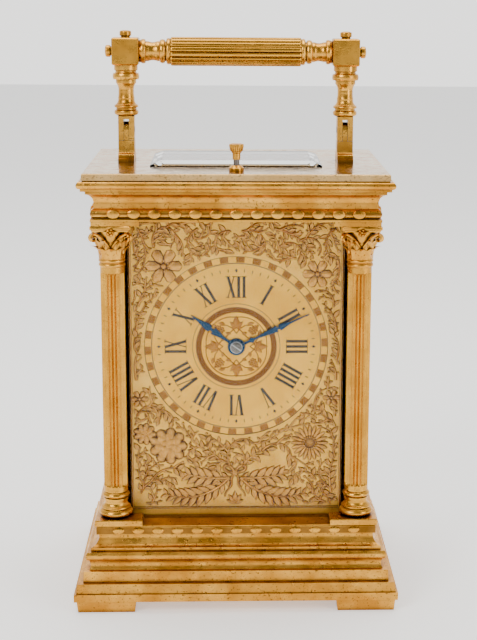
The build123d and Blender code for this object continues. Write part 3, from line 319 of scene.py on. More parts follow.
# %% [markdown]
# ## Finish every CAD piece
# A case maker gilds the mouldings, the handle and the frame alike, but they wear differently: the mouldings
# are pitted, the turned and drawn parts smooth. The pieces that need their own look are listed by name. The
# others, inside the clock, take the finish of the material that the model gives them.

# %% Finish every CAD piece
finishes = {}
for finish, names in (
    (gilt_worn, "base_moulding feet cornice"),
    (gilt_smooth, "front_posts rear_frame door_frame handle_grip handle_corner_blocks"),
    (gilt, "column_plinths door_knob handle_brackets handle_bar_ends handle_cap_knobs handle_uprights"),
    (gilt, "button_bush repeat_button"),
    (blued_steel, "minute_hand hour_hand gong movement_screws"),
    (dark_steel, "repeat_rod handle_pivot_pins"),
    (glass, "top_glass front_glass side_glasses door_glass"),
    (top_finish, "top_plate"),
    (matt_ground, "dial_mask"),
    (dial_gold, "dial_plate"),
):
    for name in names.split():
        finishes[name] = finish
slot_finish = {"gilt_brass": gilt, "plain_brass": plate_brass, "gilt_dial": dial_gold,
               "polished_steel": bright_steel, "blued_steel": blued_steel, "clear_glass": glass}
slot_of = {entry["node"]: entry["material_slot"] for entry in frame["record"]["subparts"]}
for name, piece in nodes.items():
    piece.data.materials.clear()
    piece.data.materials.append(finishes.get(name) or slot_finish[slot_of[name]])
print("finished", len(nodes), "CAD pieces,", len(finishes), "of them by name")

# %% [markdown]
# ## Making meshes and setting shapes on points
# Beads, petals, leaves and minute marks are one shape repeated. A caster would press them from one
# punch. Here one Geometry Nodes tree does the same job: it reads a turn and a size from every point of a
# little cloud, and sets a copy of the shape there. A second tree sweeps a section along a path, for the
# stems and the volutes.

# %% Mesh helpers
def settle(piece, angle=35):
    """Merge doubles, face every normal outward and shade smooth except over sharp edges."""
    grid = bmesh.new()
    grid.from_mesh(piece.data)
    bmesh.ops.remove_doubles(grid, verts=grid.verts, dist=0.000002)
    bmesh.ops.recalc_face_normals(grid, faces=grid.faces)
    grid.to_mesh(piece.data)
    grid.free()
    piece.data.shade_smooth()
    piece.data.set_sharp_from_angle(angle=radians(angle))
    return piece


def drawn(name, points, edges=(), faces=()):
    """An object with a plain mesh, from points in millimetres."""
    mesh = bpy.data.meshes.new(name)
    mesh.from_pydata([tuple(v * MM for v in point) for point in points], edges, faces)
    return placed(name, mesh)


def piece_from(name, shape, finish, angle=35):
    """A finished piece from a shape, which is a pair of points and faces."""
    piece = drawn(name, shape[0], faces=shape[1])
    piece.data.materials.append(finish)
    return settle(piece, angle)


def join(name, pieces):
    """Join finished objects into one."""
    for other in bpy.context.selected_objects:
        other.select_set(False)
    for piece in pieces:
        piece.select_set(True)
    bpy.context.view_layer.objects.active = pieces[0]
    bpy.ops.object.join()
    pieces[0].name = name
    pieces[0].data.name = name
    return pieces[0]


def tube(rings, count, closed=False):
    """The faces of a tube of rings with flat ends, or of one that is closed on itself."""
    faces = []
    for ring in range(rings if closed else rings - 1):
        a, b = ring * count, (ring + 1) % rings * count
        faces += [(a + k, a + (k + 1) % count, b + (k + 1) % count, b + k) for k in range(count)]
    if not closed:
        faces += [tuple(range(count)), tuple(range((rings - 1) * count, rings * count))]
    return faces


def circle(count):
    """Even angles once round."""
    return [2 * pi * k / count for k in range(count)]


def along(x, y, angle, out, aside=0.0):
    """The spot at a distance out from another along an angle, and a distance aside from that line."""
    return (x + out * cos(angle) - aside * sin(angle), y + out * sin(angle) + aside * cos(angle))


def lathe(profile, segments, place=(0, 0, 0), axis="Z", radius_at=None, closed=False):
    """A turned shape. The profile runs along the axis as (radius, height)."""
    points = []
    for radius, height in profile:
        for angle in circle(segments):
            reach = radius_at(radius, height, angle) if radius_at else radius
            across, up = reach * cos(angle), reach * sin(angle)
            point = {"Z": (across, up, height), "X": (height, across, up), "Y": (across, height, up)}[axis]
            points.append(tuple(point[k] + place[k] for k in range(3)))
    return points, tube(len(profile), segments, closed)


def gather(parts):
    """Add several shapes together."""
    points = []
    faces = []
    for more_points, more_faces in parts:
        shift = len(points)
        points += more_points
        faces += [tuple(index + shift for index in face) for face in more_faces]
    return points, faces


# %% [markdown]
# ### The tree that sets a shape on points
# The tree takes the shape and the finish as inputs. It copies the shape to every point, turned and sized by
# what the point carries, makes the copies real and gives them the finish.

# %% The tree that sets a shape on points
def new_tree(name, inputs, kinds, links):
    """A geometry tree. A link reads "node socket > node socket", with dots for spaces in the last name."""
    tree = bpy.data.node_groups.new(name, "GeometryNodeTree")
    tree.interface.new_socket("Geometry", in_out="INPUT", socket_type="NodeSocketGeometry")
    for label, kind in inputs:
        tree.interface.new_socket(label, in_out="INPUT", socket_type="NodeSocket" + kind)
    tree.interface.new_socket("Geometry", in_out="OUTPUT", socket_type="NodeSocketGeometry")
    made = {"entry": tree.nodes.new("NodeGroupInput"), "leave": tree.nodes.new("NodeGroupOutput")}
    for label, kind in kinds.items():
        named = kind in ("FLOAT", "FLOAT_VECTOR")
        kind_name = "InputNamedAttribute" if named else kind
        made[label] = tree.nodes.new(kind_name if "Function" in kind_name else "GeometryNode" + kind_name)
        if named:
            made[label].data_type = kind
            made[label].inputs["Name"].default_value = label
    for line in links:
        source, out, _, target, into = line.split()
        tree.links.new(made[source].outputs[out], made[target].inputs[into.replace(".", " ")])
    print(name, "has", len(made), "nodes and", len(links), "links")
    return tree, made


wanted = (("Shape", "Object"), ("Finish", "Material"))
point_tree, _ = new_tree("set_on_points", wanted, {
    "shape": "ObjectInfo",
    "place": "InstanceOnPoints",
    "turn": "FLOAT_VECTOR",
    "size": "FLOAT_VECTOR",
    "euler": "FunctionNodeEulerToRotation",
    "real": "RealizeInstances",
    "paint": "SetMaterial",
}, (
    "entry Geometry > place Points",
    "entry Shape > shape Object",
    "shape Geometry > place Instance",
    "turn Attribute > euler Euler",
    "euler Rotation > place Rotation",
    "size Attribute > place Scale",
    "place Instances > real Geometry",
    "real Geometry > paint Geometry",
    "entry Finish > paint Material",
    "paint Geometry > leave Geometry",
))


def grown(name, carrier, tree, settings, angle):
    """Run a tree on a carrier object and keep the result as one plain mesh."""
    modifier = carrier.modifiers.new("grow", "NODES")
    modifier.node_group = tree
    for item in tree.interface.items_tree:
        if item.item_type == "SOCKET" and item.in_out == "INPUT" and item.name in settings:
            modifier[item.identifier] = settings[item.name]
    bpy.context.view_layer.update()
    evaluated = carrier.evaluated_get(bpy.context.evaluated_depsgraph_get())
    piece = placed(name, bpy.data.meshes.new_from_object(evaluated))
    piece.data.name = name
    bpy.data.objects.remove(carrier)
    print(name, len(piece.data.polygons), "faces")
    return settle(piece, angle)


def set_on_points(name, shape, places, finish, angle=35):
    """Copies of a shape. Each place is (point in millimetres, turn in radians, size along each axis)."""
    carrier = drawn(name + "_points", [place[0] for place in places])
    for label, column in (("turn", 1), ("size", 2)):
        flat = [value for place in places for value in place[column]]
        carrier.data.attributes.new(label, "FLOAT_VECTOR", "POINT").data.foreach_set("vector", flat)
    piece = grown(name, carrier, point_tree, {"Shape": shape, "Finish": finish}, angle)
    bpy.data.objects.remove(shape)
    return piece


# %% [markdown]
# ### The tree that sweeps a section along a path
# A stem is a wire drawn thinner toward its tip, and a scroll is a strip rolled up. The tree turns a chain of
# points into a curve and draws a section along it, scaled at each point by the girth that the point carries.

# %% The tree that sweeps a section along a path
wanted = (("Section", "Object"), ("Finish", "Material"))
sweep_tree, sweep_nodes = new_tree("sweep_section", wanted, {
    "section": "ObjectInfo",
    "outline": "MeshToCurve",
    "path": "MeshToCurve",
    "upright": "SetCurveNormal",
    "radius": "SetCurveRadius",
    "girth": "FLOAT",
    "draw": "CurveToMesh",
    "real": "RealizeInstances",
    "paint": "SetMaterial",
}, (
    "entry Geometry > path Mesh",
    "path Curve > upright Curve",
    "upright Curve > radius Curve",
    "girth Attribute > radius Radius",
    "entry Section > section Object",
    "section Geometry > outline Mesh",
    "radius Curve > draw Curve",
    "outline Curve > draw Profile.Curve",
    "girth Attribute > draw Scale",
    "draw Mesh > real Geometry",
    "real Geometry > paint Geometry",
    "entry Finish > paint Material",
    "paint Geometry > leave Geometry",
))
sweep_nodes["draw"].inputs["Fill Caps"].default_value = True


def sweep(name, paths, section, finish, angle=40):
    """Sweep a section along paths. Each path is a list of (point in millimetres, girth)."""
    points = []
    edges = []
    girths = []
    for path in paths:
        edges += [(len(points) + k, len(points) + k + 1) for k in range(len(path) - 1)]
        points += [point for point, girth in path]
        girths += [girth for point, girth in path]
    carrier = drawn(name + "_path", points, edges)
    carrier.data.attributes.new("girth", "FLOAT", "POINT").data.foreach_set("value", girths)
    return grown(name, carrier, sweep_tree, {"Section": section, "Finish": finish}, angle)


def round_section(sides, wide=1.0, high=1.0):
    """A closed outline to sweep, as a wire mesh. The whole outline is one millimetre in radius."""
    ring = [(wide * cos(angle), high * sin(angle), 0) for angle in circle(sides)]
    return drawn("section", ring, [(k, (k + 1) % sides) for k in range(sides)])

# %% [markdown]
# ## Columns
# Each column is turned with its base, then fluted on a milling cutter that stops short of both ends and
# leaves them round. The flute is a rule here: its depth falls away like a half circle across the flute and
# again towards its ends. The four columns are cut where the glazed box passes them.

# %% Columns
column_places = [(45.0, -33.1), (-45.0, -33.1), (45.0, 33.1), (-45.0, 33.1)]
box_zones = [(43.6, 28.8), (40.9, 31.55), (41.85, 29.95)]
rear_y, door_clear = 28, 38.0


def keep_clear(points):
    """Push points out of the glazed box to its nearest face, and out of the way of the open rear door."""
    cleared = []
    for x, y, z in points:
        if y > rear_y and abs(x) < door_clear:
            x = copysign(door_clear, x)
        for half_x, half_y in box_zones * 2:
            if abs(x) < half_x and abs(y) < half_y:
                if half_x - abs(x) < half_y - abs(y):
                    x = copysign(half_x, x)
                else:
                    y = copysign(half_y, y)
        cleared.append((x, y, z))
    return cleared


def arc_steps(start, end, bulge, count=7):
    """Points of a shallow arc from one (radius, height) to another."""
    wide, high = end[0] - start[0], end[1] - start[1]
    length = hypot(wide, high)
    steps = []
    for k in range(count + 1):
        t = k / count
        swell = 4 * bulge * t * (1 - t) / length
        steps.append((start[0] + wide * t + swell * high, start[1] + high * t - swell * wide))
    return steps


shaft_radius = 4.3
flute_low, flute_high, flute_count = 45.2, 126.0, 20
flute_pitch = 2 * pi * shaft_radius / flute_count
flute_reach = flute_pitch * 0.42
flute_depth = 0.6


def fluted(radius, height, angle):
    """The shaft radius with its flutes cut."""
    if not flute_low < height < flute_high or radius > shaft_radius + 0.01:
        return radius
    across = ((angle * flute_count / (2 * pi)) % 1 - 0.5) * flute_pitch / flute_reach
    end = max(0.0, 1 - min(height - flute_low, flute_high - height) / flute_reach)
    return radius - flute_depth * sqrt(max(0.0, 1 - across * across - end * end))


base_profile = [(4.9, 33.5)] + arc_steps((4.9, 33.5), (4.9, 36.7), 1.37, 9)
base_profile += arc_steps((5.4, 36.75), (5.4, 37.4), 0.1, 3) + arc_steps((5.2, 37.5), (4.45, 39.9), -0.55, 6)
base_profile += [(4.45, 40.6), (4.0, 40.65)] + arc_steps((4.1, 40.7), (4.1, 43.0), 0.95, 8)
base_profile += [(4.35, 43.15), (4.35, 43.6), (shaft_radius, 43.8)]
end_rings = [-0.1, 0.0, 0.05, 0.2, 0.4, 0.65]
shaft_heights = [flute_low + step for step in end_rings] + [46.5 + 78.5 * k / 6 for k in range(7)]
shaft_heights += [flute_high - step for step in reversed(end_rings)] + [128.3]
column_profile = base_profile + [(shaft_radius, height) for height in shaft_heights]
column_parts = []
for x, y in column_places:
    points, faces = lathe(column_profile, 160, (x, y, 0), radius_at=fluted)
    column_parts.append((keep_clear(points), faces))
fluted_columns = piece_from("fluted_columns", gather(column_parts), gilt_smooth, 30)
print("columns", len(fluted_columns.data.polygons), "faces,", flute_count, "flutes each")

# %% [markdown]
# ## Capitals
# A Corinthian capital is cast in one piece with its leaves. Two rings of leaves stand on a bell and curl out
# at their tips. Bands sweep up from the middle of each face to a scroll under every corner of the abacus,
# which has hollow sides and a small flower in the middle. The inner corner of each capital has no scroll,
# because the glazed box is there.

# %% Leaf and flower shapes
def leaf_shape(length, half_width, curl, lobes=3, ridge=0.3, columns=6, rows=9):
    """A lobed leaf that rises along Z, leans out along Y and curls over at its tip."""
    points = []
    for row in range(rows + 1):
        t = row / rows
        lean = 0.25 * length * t * t + curl * max(0.0, t - 0.55) ** 2 * length
        height = length * (t - 0.9 * max(0.0, t - 0.72) ** 2 * curl)
        swell = (0.5 + 0.75 * sin(pi * min(1.0, t * 1.15) ** 0.9)) * (1 - t ** 6)
        lobe = 1 + 0.22 * cos(2 * pi * lobes * t)
        for column in range(columns + 1):
            u = 2 * column / columns - 1
            rib = ridge * (1 - abs(u)) + 0.3 * ridge * cos(u * pi * 2)
            points.append((half_width * swell * lobe * u, lean + rib - 0.25 * u * u * half_width, height))
    wide = columns + 1
    faces = []
    for row in range(rows):
        for a in range(row * wide, row * wide + columns):
            faces.append((a, a + 1, a + wide + 1, a + wide))
    shift = len(points)
    faces += [tuple(index + shift for index in reversed(face)) for face in faces]
    rim = [row * wide for row in range(rows)] + [rows * wide + column for column in range(columns)]
    rim += [row * wide + columns for row in range(rows, 0, -1)] + list(range(columns, 0, -1))
    faces += [(a, b, b + shift, a + shift) for a, b in zip(rim, rim[1:] + rim[:1])]
    return piece_from("leaf", (points + [(x, y - 0.35, z) for x, y, z in points], faces), gilt, 50)


def blossom(petals, radius, petal_width, lift, eye, finish=gilt):
    """A flower that faces along Z: dished petals round a domed eye."""
    count = 8
    points = [(0, 0, eye * 0.9)] + [(*along(0, 0, angle, eye), 0.1) for angle in circle(count)]
    faces = [(0, 1 + k, 1 + (k + 1) % count) for k in range(count)]
    for petal, turn in enumerate(circle(petals)):
        start = len(points)
        for reach, share, rise in ((0.6 * eye, 0.3, 0.2), (0.5 * radius, 0.85, 0.9),
                                   (0.85 * radius, 0.9, 1.0), (radius, 0.35, 0.5)):
            for u in (-1, -0.5, 0, 0.5, 1):
                points.append((*along(0, 0, turn, reach, petal_width * share * u),
                               lift * rise * (1 - 0.9 * u * u) + 0.03 * (petal % 2)))
        faces += [(a, a + 1, a + 6, a + 5) for a in range(start, start + 15) if (a - start) % 5 < 4]
    return piece_from("blossom", (points, faces), finish, 60)


# %% [markdown]
# ### Setting the capitals together
# The bell and the abacus are turned and sawn. Leaves go round the bell in two staggered rings of eight. Each
# scroll path runs up from the middle of a face to the corner and then winds inward as it thins.

# %% Capitals
abacus_foot, abacus_top = 141.5, 143.6
bell_profile = arc_steps((4.4, 128.1), (4.4, 129.6), 0.42, 5) + arc_steps((4.4, 129.7), (4.4, 131.1), 0.42, 5)
bell_profile += [(4.4, 131.3), (4.5, 132.5), (4.8, 135.0), (5.3, 137.5), (5.9, 139.5), (6.3, 140.6),
                 (6.4, abacus_foot)]


def abacus(x, y):
    """A square slab with hollow sides, blunt corners and a fillet under its edge."""
    outline = []
    for turn in circle(4):
        for k in range(9):
            t = -1 + k / 4
            outline.append(along(0, 0, turn, 7.35 - 1.15 * (1 - t * t), 6.9 * t))
    points = []
    for shrink, height in ((0.9, abacus_foot), (0.93, 142.1), (0.99, 142.3), (1.0, 143.35),
                           (0.975, abacus_top)):
        points += [(x + shrink * px, y + shrink * py, height) for px, py in outline]
    return points, tube(5, len(outline))


def scroll_path(x, y, corner, hand):
    """A band that rises to one corner of the abacus and winds into a scroll there."""
    path = []
    for step in range(15):
        t = step / 14
        bearing = corner + hand * radians(40) * (1 - t) ** 1.3
        path.append(((*along(x, y, bearing, 5.0 + 3.6 * t), 135.6 + 5.0 * sin(t * pi / 2)), 0.55 + 0.25 * t))
    for step in range(1, 17):
        spin = pi / 2 - step * pi / 7
        tighter = 1 - step / 20
        path.append(((*along(x, y, corner, 8.6 + 1.55 * tighter * cos(spin), hand * 0.35),
                      139.2 + 1.4 * sin(spin) * tighter), 0.72 - 0.02 * step))
    return path


plain = (1, 1, 1)
capital_parts = []
low_leaves = []
high_leaves = []
flowers = []
scroll_paths = []
for x, y in column_places:
    capital_parts += [lathe(bell_profile, 48, (x, y, 0)), abacus(x, y)]
    for ring, radius, height, stagger in ((low_leaves, 4.3, 131.0, 0), (high_leaves, 4.5, 133.0, pi / 8)):
        for angle in circle(8):
            angle += stagger
            ring.append(((*along(x, y, angle, radius), height), (0, 0, angle - pi / 2), plain))
    for angle in circle(4):
        if cos(angle) * copysign(1, x) + sin(angle) * copysign(1, y) > 0:
            flowers.append(((*along(x, y, angle, 6.1), 141.3), (pi / 2, 0, angle + pi / 2), plain))
        corner = angle + pi / 4
        if cos(corner - atan2(y, x)) > -0.9:
            scroll_paths += [scroll_path(x, y, corner, hand) for hand in (-1, 1)]

points, faces = gather(capital_parts)
leafy_capitals = join("leafy_capitals", [
    piece_from("bells", (keep_clear(points), faces), gilt),
    set_on_points("low_leaves", leaf_shape(5.2, 1.75, 1.9), low_leaves, gilt),
    set_on_points("high_leaves", leaf_shape(6.6, 1.7, 2.3), high_leaves, gilt),
    sweep("scrolls", scroll_paths, round_section(8, 1.0, 0.8), gilt),
    set_on_points("abacus_flowers", blossom(5, 1.5, 0.75, 0.9, 0.45), flowers, gilt),
])
for vertex in leafy_capitals.data.vertices:
    vertex.co = Vector(keep_clear([tuple(vertex.co / MM)])[0]) * MM
print("capitals", len(leafy_capitals.data.polygons), "faces")

# %% [markdown]
# ## Beads on the cornice and the base
# A row of flat ovals runs round the hollow under the cornice, and a row of round studs along the step above
# the base mouldings. They were chased after casting. The shape is a low dome, set at an even pitch on all
# four sides, and the number on a side comes from its length.

# %% Oval beads
def dome(wide, high, proud, sides=20, finish=gilt):
    """A low dome whose skirt goes a little way into the piece it stands on. It faces along Z."""
    points = []
    for share, lift in ((1.0, -0.5), (1.0, 0.15), (0.9, 0.62), (0.62, 0.92)):
        points += [(wide / 2 * share * cos(angle), high / 2 * share * sin(angle), proud * lift)
                   for angle in circle(sides)]
    return piece_from("dome", (points, tube(4, sides)), finish, 50)


case_inset, bead_pitch = 12.06, 7.3


def round_the_case(half, height):
    """Even places along the four sides of the case, each turned to face outward."""
    places = []
    for side, turn in enumerate(circle(4)):
        wide, out = (half, half - case_inset) if side % 2 == 0 else (half - case_inset, half)
        steps = int((wide - 0.5 * bead_pitch) / bead_pitch)
        for k in range(-steps, steps + 1):
            places.append(((*along(0, 0, turn, k * bead_pitch, -out), height), (pi / 2, 0, turn), plain))
    return places


bead_half, bead_z, stud_z = 51.95, 148.0, 29.3
cornice_beads = set_on_points("cornice_beads", dome(4.9, 3.3, 0.8), round_the_case(bead_half, bead_z), gilt)
base_studs = set_on_points("base_studs", dome(4.3, 2.5, 0.5), round_the_case(bead_half, stud_z), gilt)

# %% [markdown]
# The channels behind the beads carry painted shade: a dark skin, so that the beads stand out against it.
# Each channel is a thin skin that follows the moulding round the case.

# %% Painted shade in the channels behind the beads
def band(name, profile):
    """A skin of painted shade round the four sides of the case from a list of (half width, height)."""
    points = []
    for half, height in profile + [(half - 0.5, height) for half, height in reversed(profile)]:
        deep = half - case_inset
        points += [(half, -deep, height), (half, deep, height), (-half, deep, height), (-half, -deep, height)]
    return piece_from(name, (points, tube(len(points) // 4, 4, True)), painted_channel_shade, 30)


stud_channel = band("stud_channel", [(bead_half + 0.03, 28.05), (bead_half + 0.03, 30.55)])
swell = [bead_z + 1.5 * (k / 4 - 1) for k in range(9)]
bead_channel = band("bead_channel", [(51.12 + 0.9 * (1 - ((z - bead_z) / 1.6) ** 2), z) for z in swell])
print("channels", len(stud_channel.data.polygons) + len(bead_channel.data.polygons), "faces")

# %% [markdown]
# ## Handle grip and repeat button
# The grip is reeded along its length so that it does not turn in the hand, and the button's cap is reeded
# round its edge. Both are turned first and reeded afterwards, so both come from the same turning rule with
# a different number of reeds.

# %% Reeded grip and button cap
def reeded(count, depth):
    """A rule that leaves rounded reeds with narrow grooves between them."""
    def rule(radius, height, angle):
        part = abs((angle * count / (2 * pi)) % 1 - 0.5) * 2
        return radius - depth * (1 - sqrt(max(0.0, 1 - part ** 3)))
    return rule


grip_reeds, cap_reeds = 16, 18
grip_z, grip_half = 203.4, 24.35
end_profile = [(radius, inward - grip_half)
               for radius, inward in ((4.7, 0), (5.05, 0.02), (5.3, 0.3), (5.36, 0.8))]
grip_profile = end_profile + [(5.36, -20 + 8 * k) for k in range(6)]
grip_profile += [(radius, -height) for radius, height in reversed(end_profile)]
grip = lathe(grip_profile, grip_reeds * 12, (0, 0, grip_z), "X", reeded(grip_reeds, 0.75))
reeded_grip = piece_from("reeded_grip", grip, gilt_smooth, 40)

button_foot = (0, -33.0, 166.81)
stem_profile = [(1.1, 0), (1.43, 0.05), (1.43, 2.2), (1.75, 2.5), (1.75, 2.8)]
rim_profile = [(1.7, 2.8), (2.2, 3.0), (2.55, 4.2), (2.68, 5.2), (2.55, 5.5), (1.9, 5.68), (0.7, 5.74)]
button = gather([lathe(stem_profile, 54, button_foot),
                 lathe(rim_profile, cap_reeds * 9, button_foot, "Z", reeded(cap_reeds, 0.28))])
reeded_button = piece_from("reeded_button", button, gilt, 40)
print("grip", len(reeded_grip.data.polygons), "faces; button", len(reeded_button.data.polygons))

# %% [markdown]
# ## Chapter ring
# The chapters are engraved and filled with black wax, so they stand a few hundredths of a millimetre over
# the gilding. Every figure is built from thick strokes, thin strokes and serifs, and stands on a radius with
# its foot to the middle.

# %% Rings and numerals
dial_z, chapter_y = 96.7, -27.2
wax_thick, sunk = 0.05, 0.03


def dial_ring(name, inner, outer, finish=line_wax, thick=wax_thick):
    """A flat ring on the dial, sunk a little way into it."""
    profile = [(inner, chapter_y + sunk), (inner, chapter_y - thick), (outer, chapter_y - thick),
               (outer, chapter_y + sunk)]
    return piece_from(name, lathe(profile, 180, (0, 0, dial_z), "Y", closed=True), finish, 40)


def on_dial(angle, across, out, depth=0.0):
    """A dial point: an angle clockwise from twelve, a distance to its right and a distance outward."""
    x, z = along(0, dial_z, radians(90 - angle), out, -across)
    return (x, chapter_y - depth, z)


def prism(outline, angle, thick=wax_thick):
    """A flat piece on the dial from an outline of (across, out) points."""
    points = [on_dial(angle, across, out, depth) for depth in (-sunk, thick) for across, out in outline]
    return points, tube(2, len(outline))


foot, head, serif = 18.5, 26.5, 0.26
thick_stroke, thin_stroke = 1.02, 0.34
wide_serif, narrow_serif = 1.75, 1.3
letter_width = {"I": 1.98, "V": 3.7, "X": 3.7}


def slab(mid_low, mid_high, width, low=foot, high=head):
    """A stroke between two heights, from the middle of its foot to the middle of its head."""
    half = width / 2
    return [(mid_low - half, low), (mid_low + half, low), (mid_high + half, high), (mid_high - half, high)]


def serif_at(across, out, width):
    """A thin bar across the end of a stroke."""
    low = out if out == foot else out - serif
    return slab(across, across, width, low, low + serif)


def letter(kind, middle):
    """The strokes of one letter."""
    if kind == "I":
        return [slab(middle, middle, thick_stroke), serif_at(middle, foot, wide_serif),
                serif_at(middle, head, wide_serif)]
    left, right = middle - 1.15, middle + 1.15
    tops = [serif_at(left, head, wide_serif), serif_at(right, head, narrow_serif)]
    if kind == "V":
        return [slab(middle - 0.1, left, thick_stroke), slab(middle + 0.15, right, thin_stroke)] + tops
    return [slab(right, left, thick_stroke), slab(left, right, thin_stroke),
            serif_at(left, foot, narrow_serif), serif_at(right, foot, wide_serif)] + tops


strokes = []
for hour, word in enumerate("XII I II III IIII V VI VII VIII IX X XI".split()):
    start = -sum(letter_width[kind] for kind in word) / 2
    for kind in word:
        strokes += [prism(outline, 30 * hour) for outline in letter(kind, start + letter_width[kind] / 2)]
        start += letter_width[kind]
chapters = piece_from("chapters", gather(strokes), ink, 30)


def lozenge(half_across, half_out, blunt):
    """A small flat mark that faces along Z: a diamond when blunt is 0, a dash when it is 1."""
    corner = half_across * blunt
    ring = [(0, half_out), (corner, half_out), (half_across, 0), (corner, -half_out),
            (0, -half_out), (-corner, -half_out), (-half_across, 0), (-corner, half_out)]
    points = [(x, y, z) for z in (-sunk, wax_thick) for x, y in ring]
    return piece_from("lozenge", (points, tube(2, len(ring))), ink, 30)


def facing_front(angle=0):
    """The turn that lays a Z-facing shape on the dial, its own Y pointing outward at an angle from twelve."""
    return (pi / 2, radians(angle), 0)


minutes = [(on_dial(6 * k, 0, 28.7), facing_front(6 * k), plain) for k in range(60)]
dashes = [place for k, place in enumerate(minutes) if k % 5]
chapter_work = [
    chapters,
    set_on_points("minute_dashes", lozenge(0.14, 0.55, 1.0), dashes, ink),
    set_on_points("minute_diamonds", lozenge(0.55, 0.75, 0.0), minutes[::5], ink),
    dial_ring("edge_line", 31.2, 31.55),
    join("circle_lines", [dial_ring("line", 16.1, 16.32), dial_ring("line", 14.82, 15.02)]),
    dial_ring("rosy_ring", 12.95, 14.8, centre_relief, 0.04),
]

# The border round the chapters is chequered: matted blocks alternate with bright ones.
block_count = 34
block_inner, block_outer = 31.75, 33.8
half_arc = pi / block_count / 2
corners = [(radius * sin(side * half_arc), radius * cos(side * half_arc))
           for radius, side in ((block_inner, -1), (block_inner, 1), (block_outer, 1), (block_outer, -1))]
blocks = [prism(corners, (360 * k + 90) / block_count, 0.06) for k in range(block_count)]
chapter_work += [piece_from("border_blocks", gather(blocks), centre_relief, 30),
                 dial_ring("border_line", 33.85, 33.98)]
print("chapters", len(chapters.data.polygons), "faces, border", block_count, "blocks")

# %% [markdown]
# ## Relief on the dial mask
# The mask is a cast and chased sheet of flowers and curling stems on a matted ground. A designer draws such
# a filling by letting stems grow until they meet a neighbour. The same rule grows it here: a stem leaves its
# parent, curls ever tighter, stops before it touches anything, and sets leaves to both sides where there is
# room. The flowers are placed first, so the stems grow round them.

# %% Flowers, places and the free ground
mask_y = -27.6
flower_places = {
    "six_petal": [(-26.6, 127.1, 6.6), (29.8, 124.2, 5.4), (-36.0, 76.8, 3.3), (35.6, 77.1, 3.2)],
    "rose": [(-25.5, 58.5, 7.2), (-34.2, 63.2, 4.3)],
    "daisy": [(27.6, 59.6, 7.0)],
}
mask_half, mask_low, mask_high, opening = 38.3, 34.8, 144.0, 34.9
bow_x, bow_z, bow_foot, bow_room = -0.5, 47.9, 47.5, 3.6
kept_free = [place for group in flower_places.values() for place in group]


def free_ground(x, z, margin):
    """True where relief may stand: inside the border, off the chapters, clear of the bow and the flowers."""
    if abs(x) > mask_half - margin or not mask_low + margin < z < mask_high - margin:
        return False
    if hypot(x, z - dial_z) < opening + margin or hypot(x, z - bow_foot) < bow_room:
        return False
    return all(hypot(x - bx, z - bz) > radius + margin for bx, bz, radius in kept_free)


print(len(kept_free), "flowers, and is the middle of the dial free ground:", free_ground(0, dial_z, 0))

# %% [markdown]
# ### Claiming the ground
# The ground is divided into square cells. Every step of a stem and every leaf claims its spot, so that a new
# one can ask whether it would crowd a neighbour. Four acanthus fronds sweep out from the bow and a palmette
# stands under it. They claim their ground before any stem grows.

# %% Claiming the ground, and the fronds
chance = random.Random(7)
cell, step = 1.7, 0.7
taken = {}
frond_owner = -2


def crowded(spot, reach, own):
    """True when another stem or leaf already stands within reach."""
    span = int(reach / cell) + 1
    column, row = int(spot[0] // cell), int(spot[1] // cell)
    for i in range(column - span, column + span + 1):
        for j in range(row - span, row + span + 1):
            for px, pz, owner in taken.get((i, j), ()):
                if owner not in own and hypot(px - spot[0], pz - spot[1]) < reach:
                    return True
    return False


def claim(spot, owner):
    """Mark a spot as taken."""
    taken.setdefault((int(spot[0] // cell), int(spot[1] // cell)), []).append((*spot, owner))


def on_mask(x, z, wide, high, turn=0, proud=0.0):
    """The place of a shape that lies on the mask, scaled by its width and its height, and turned."""
    return ((x, mask_y - proud, z), facing_front(turn), (wide, wide, high))


def leaf_place(x, z, heading, width, length, rise):
    """The place of a relief leaf with its foot at a spot."""
    return ((x, mask_y, z), facing_front(90 - degrees(heading)), (width, length, rise))


fronds = []
frond_leaves = []
for side in (1, -1):
    for heading, curl, length in ((-48, 0.045, 27), (-4, 0.02, 18)):
        x, z, angle = 2.1, 46.0, radians(heading)
        frond = []
        for k in range(int(length / step)):
            frond.append((side * x + bow_x, z, angle if side > 0 else pi - angle))
            x, z = along(x, z, angle, step)
            angle += step * curl
        fronds.append(frond)
for frond in fronds:
    for k in range(1, len(frond), 4):
        x, z, angle = frond[k]
        length = 1.4 + 4.4 * sin(pi * (0.12 + 0.8 * k / len(frond)))
        claim((x, z), frond_owner)
        for lean in (angle + 0.78, angle - 0.78):
            frond_leaves.append(leaf_place(x, z, lean, length * 0.34, length * 0.36, 1.25))
            for share in (0.5, 1.0):
                claim(along(x, z, lean, share * length), frond_owner)
palmette_z = 35.6
for fan in (-64, -32, 0, 32, 64):
    length = 5.2 - 0.025 * abs(fan)
    heading = radians(90 - fan)
    frond_leaves.append(leaf_place(bow_x, palmette_z, heading, length * 0.3, length * 0.36, 1.2))
    claim(along(bow_x, palmette_z, heading, length), frond_owner)
    claim((bow_x, 37.0), frond_owner)
print(len(fronds), "fronds with", len(frond_leaves), "leaves")

# %% [markdown]
# ### Growing the stems
# A stem tries five curls and keeps the one that runs furthest. Each stem then sends out shoots to both sides,
# and these join the end of the queue, so the relief fills from the thick stems down to the thin ones.

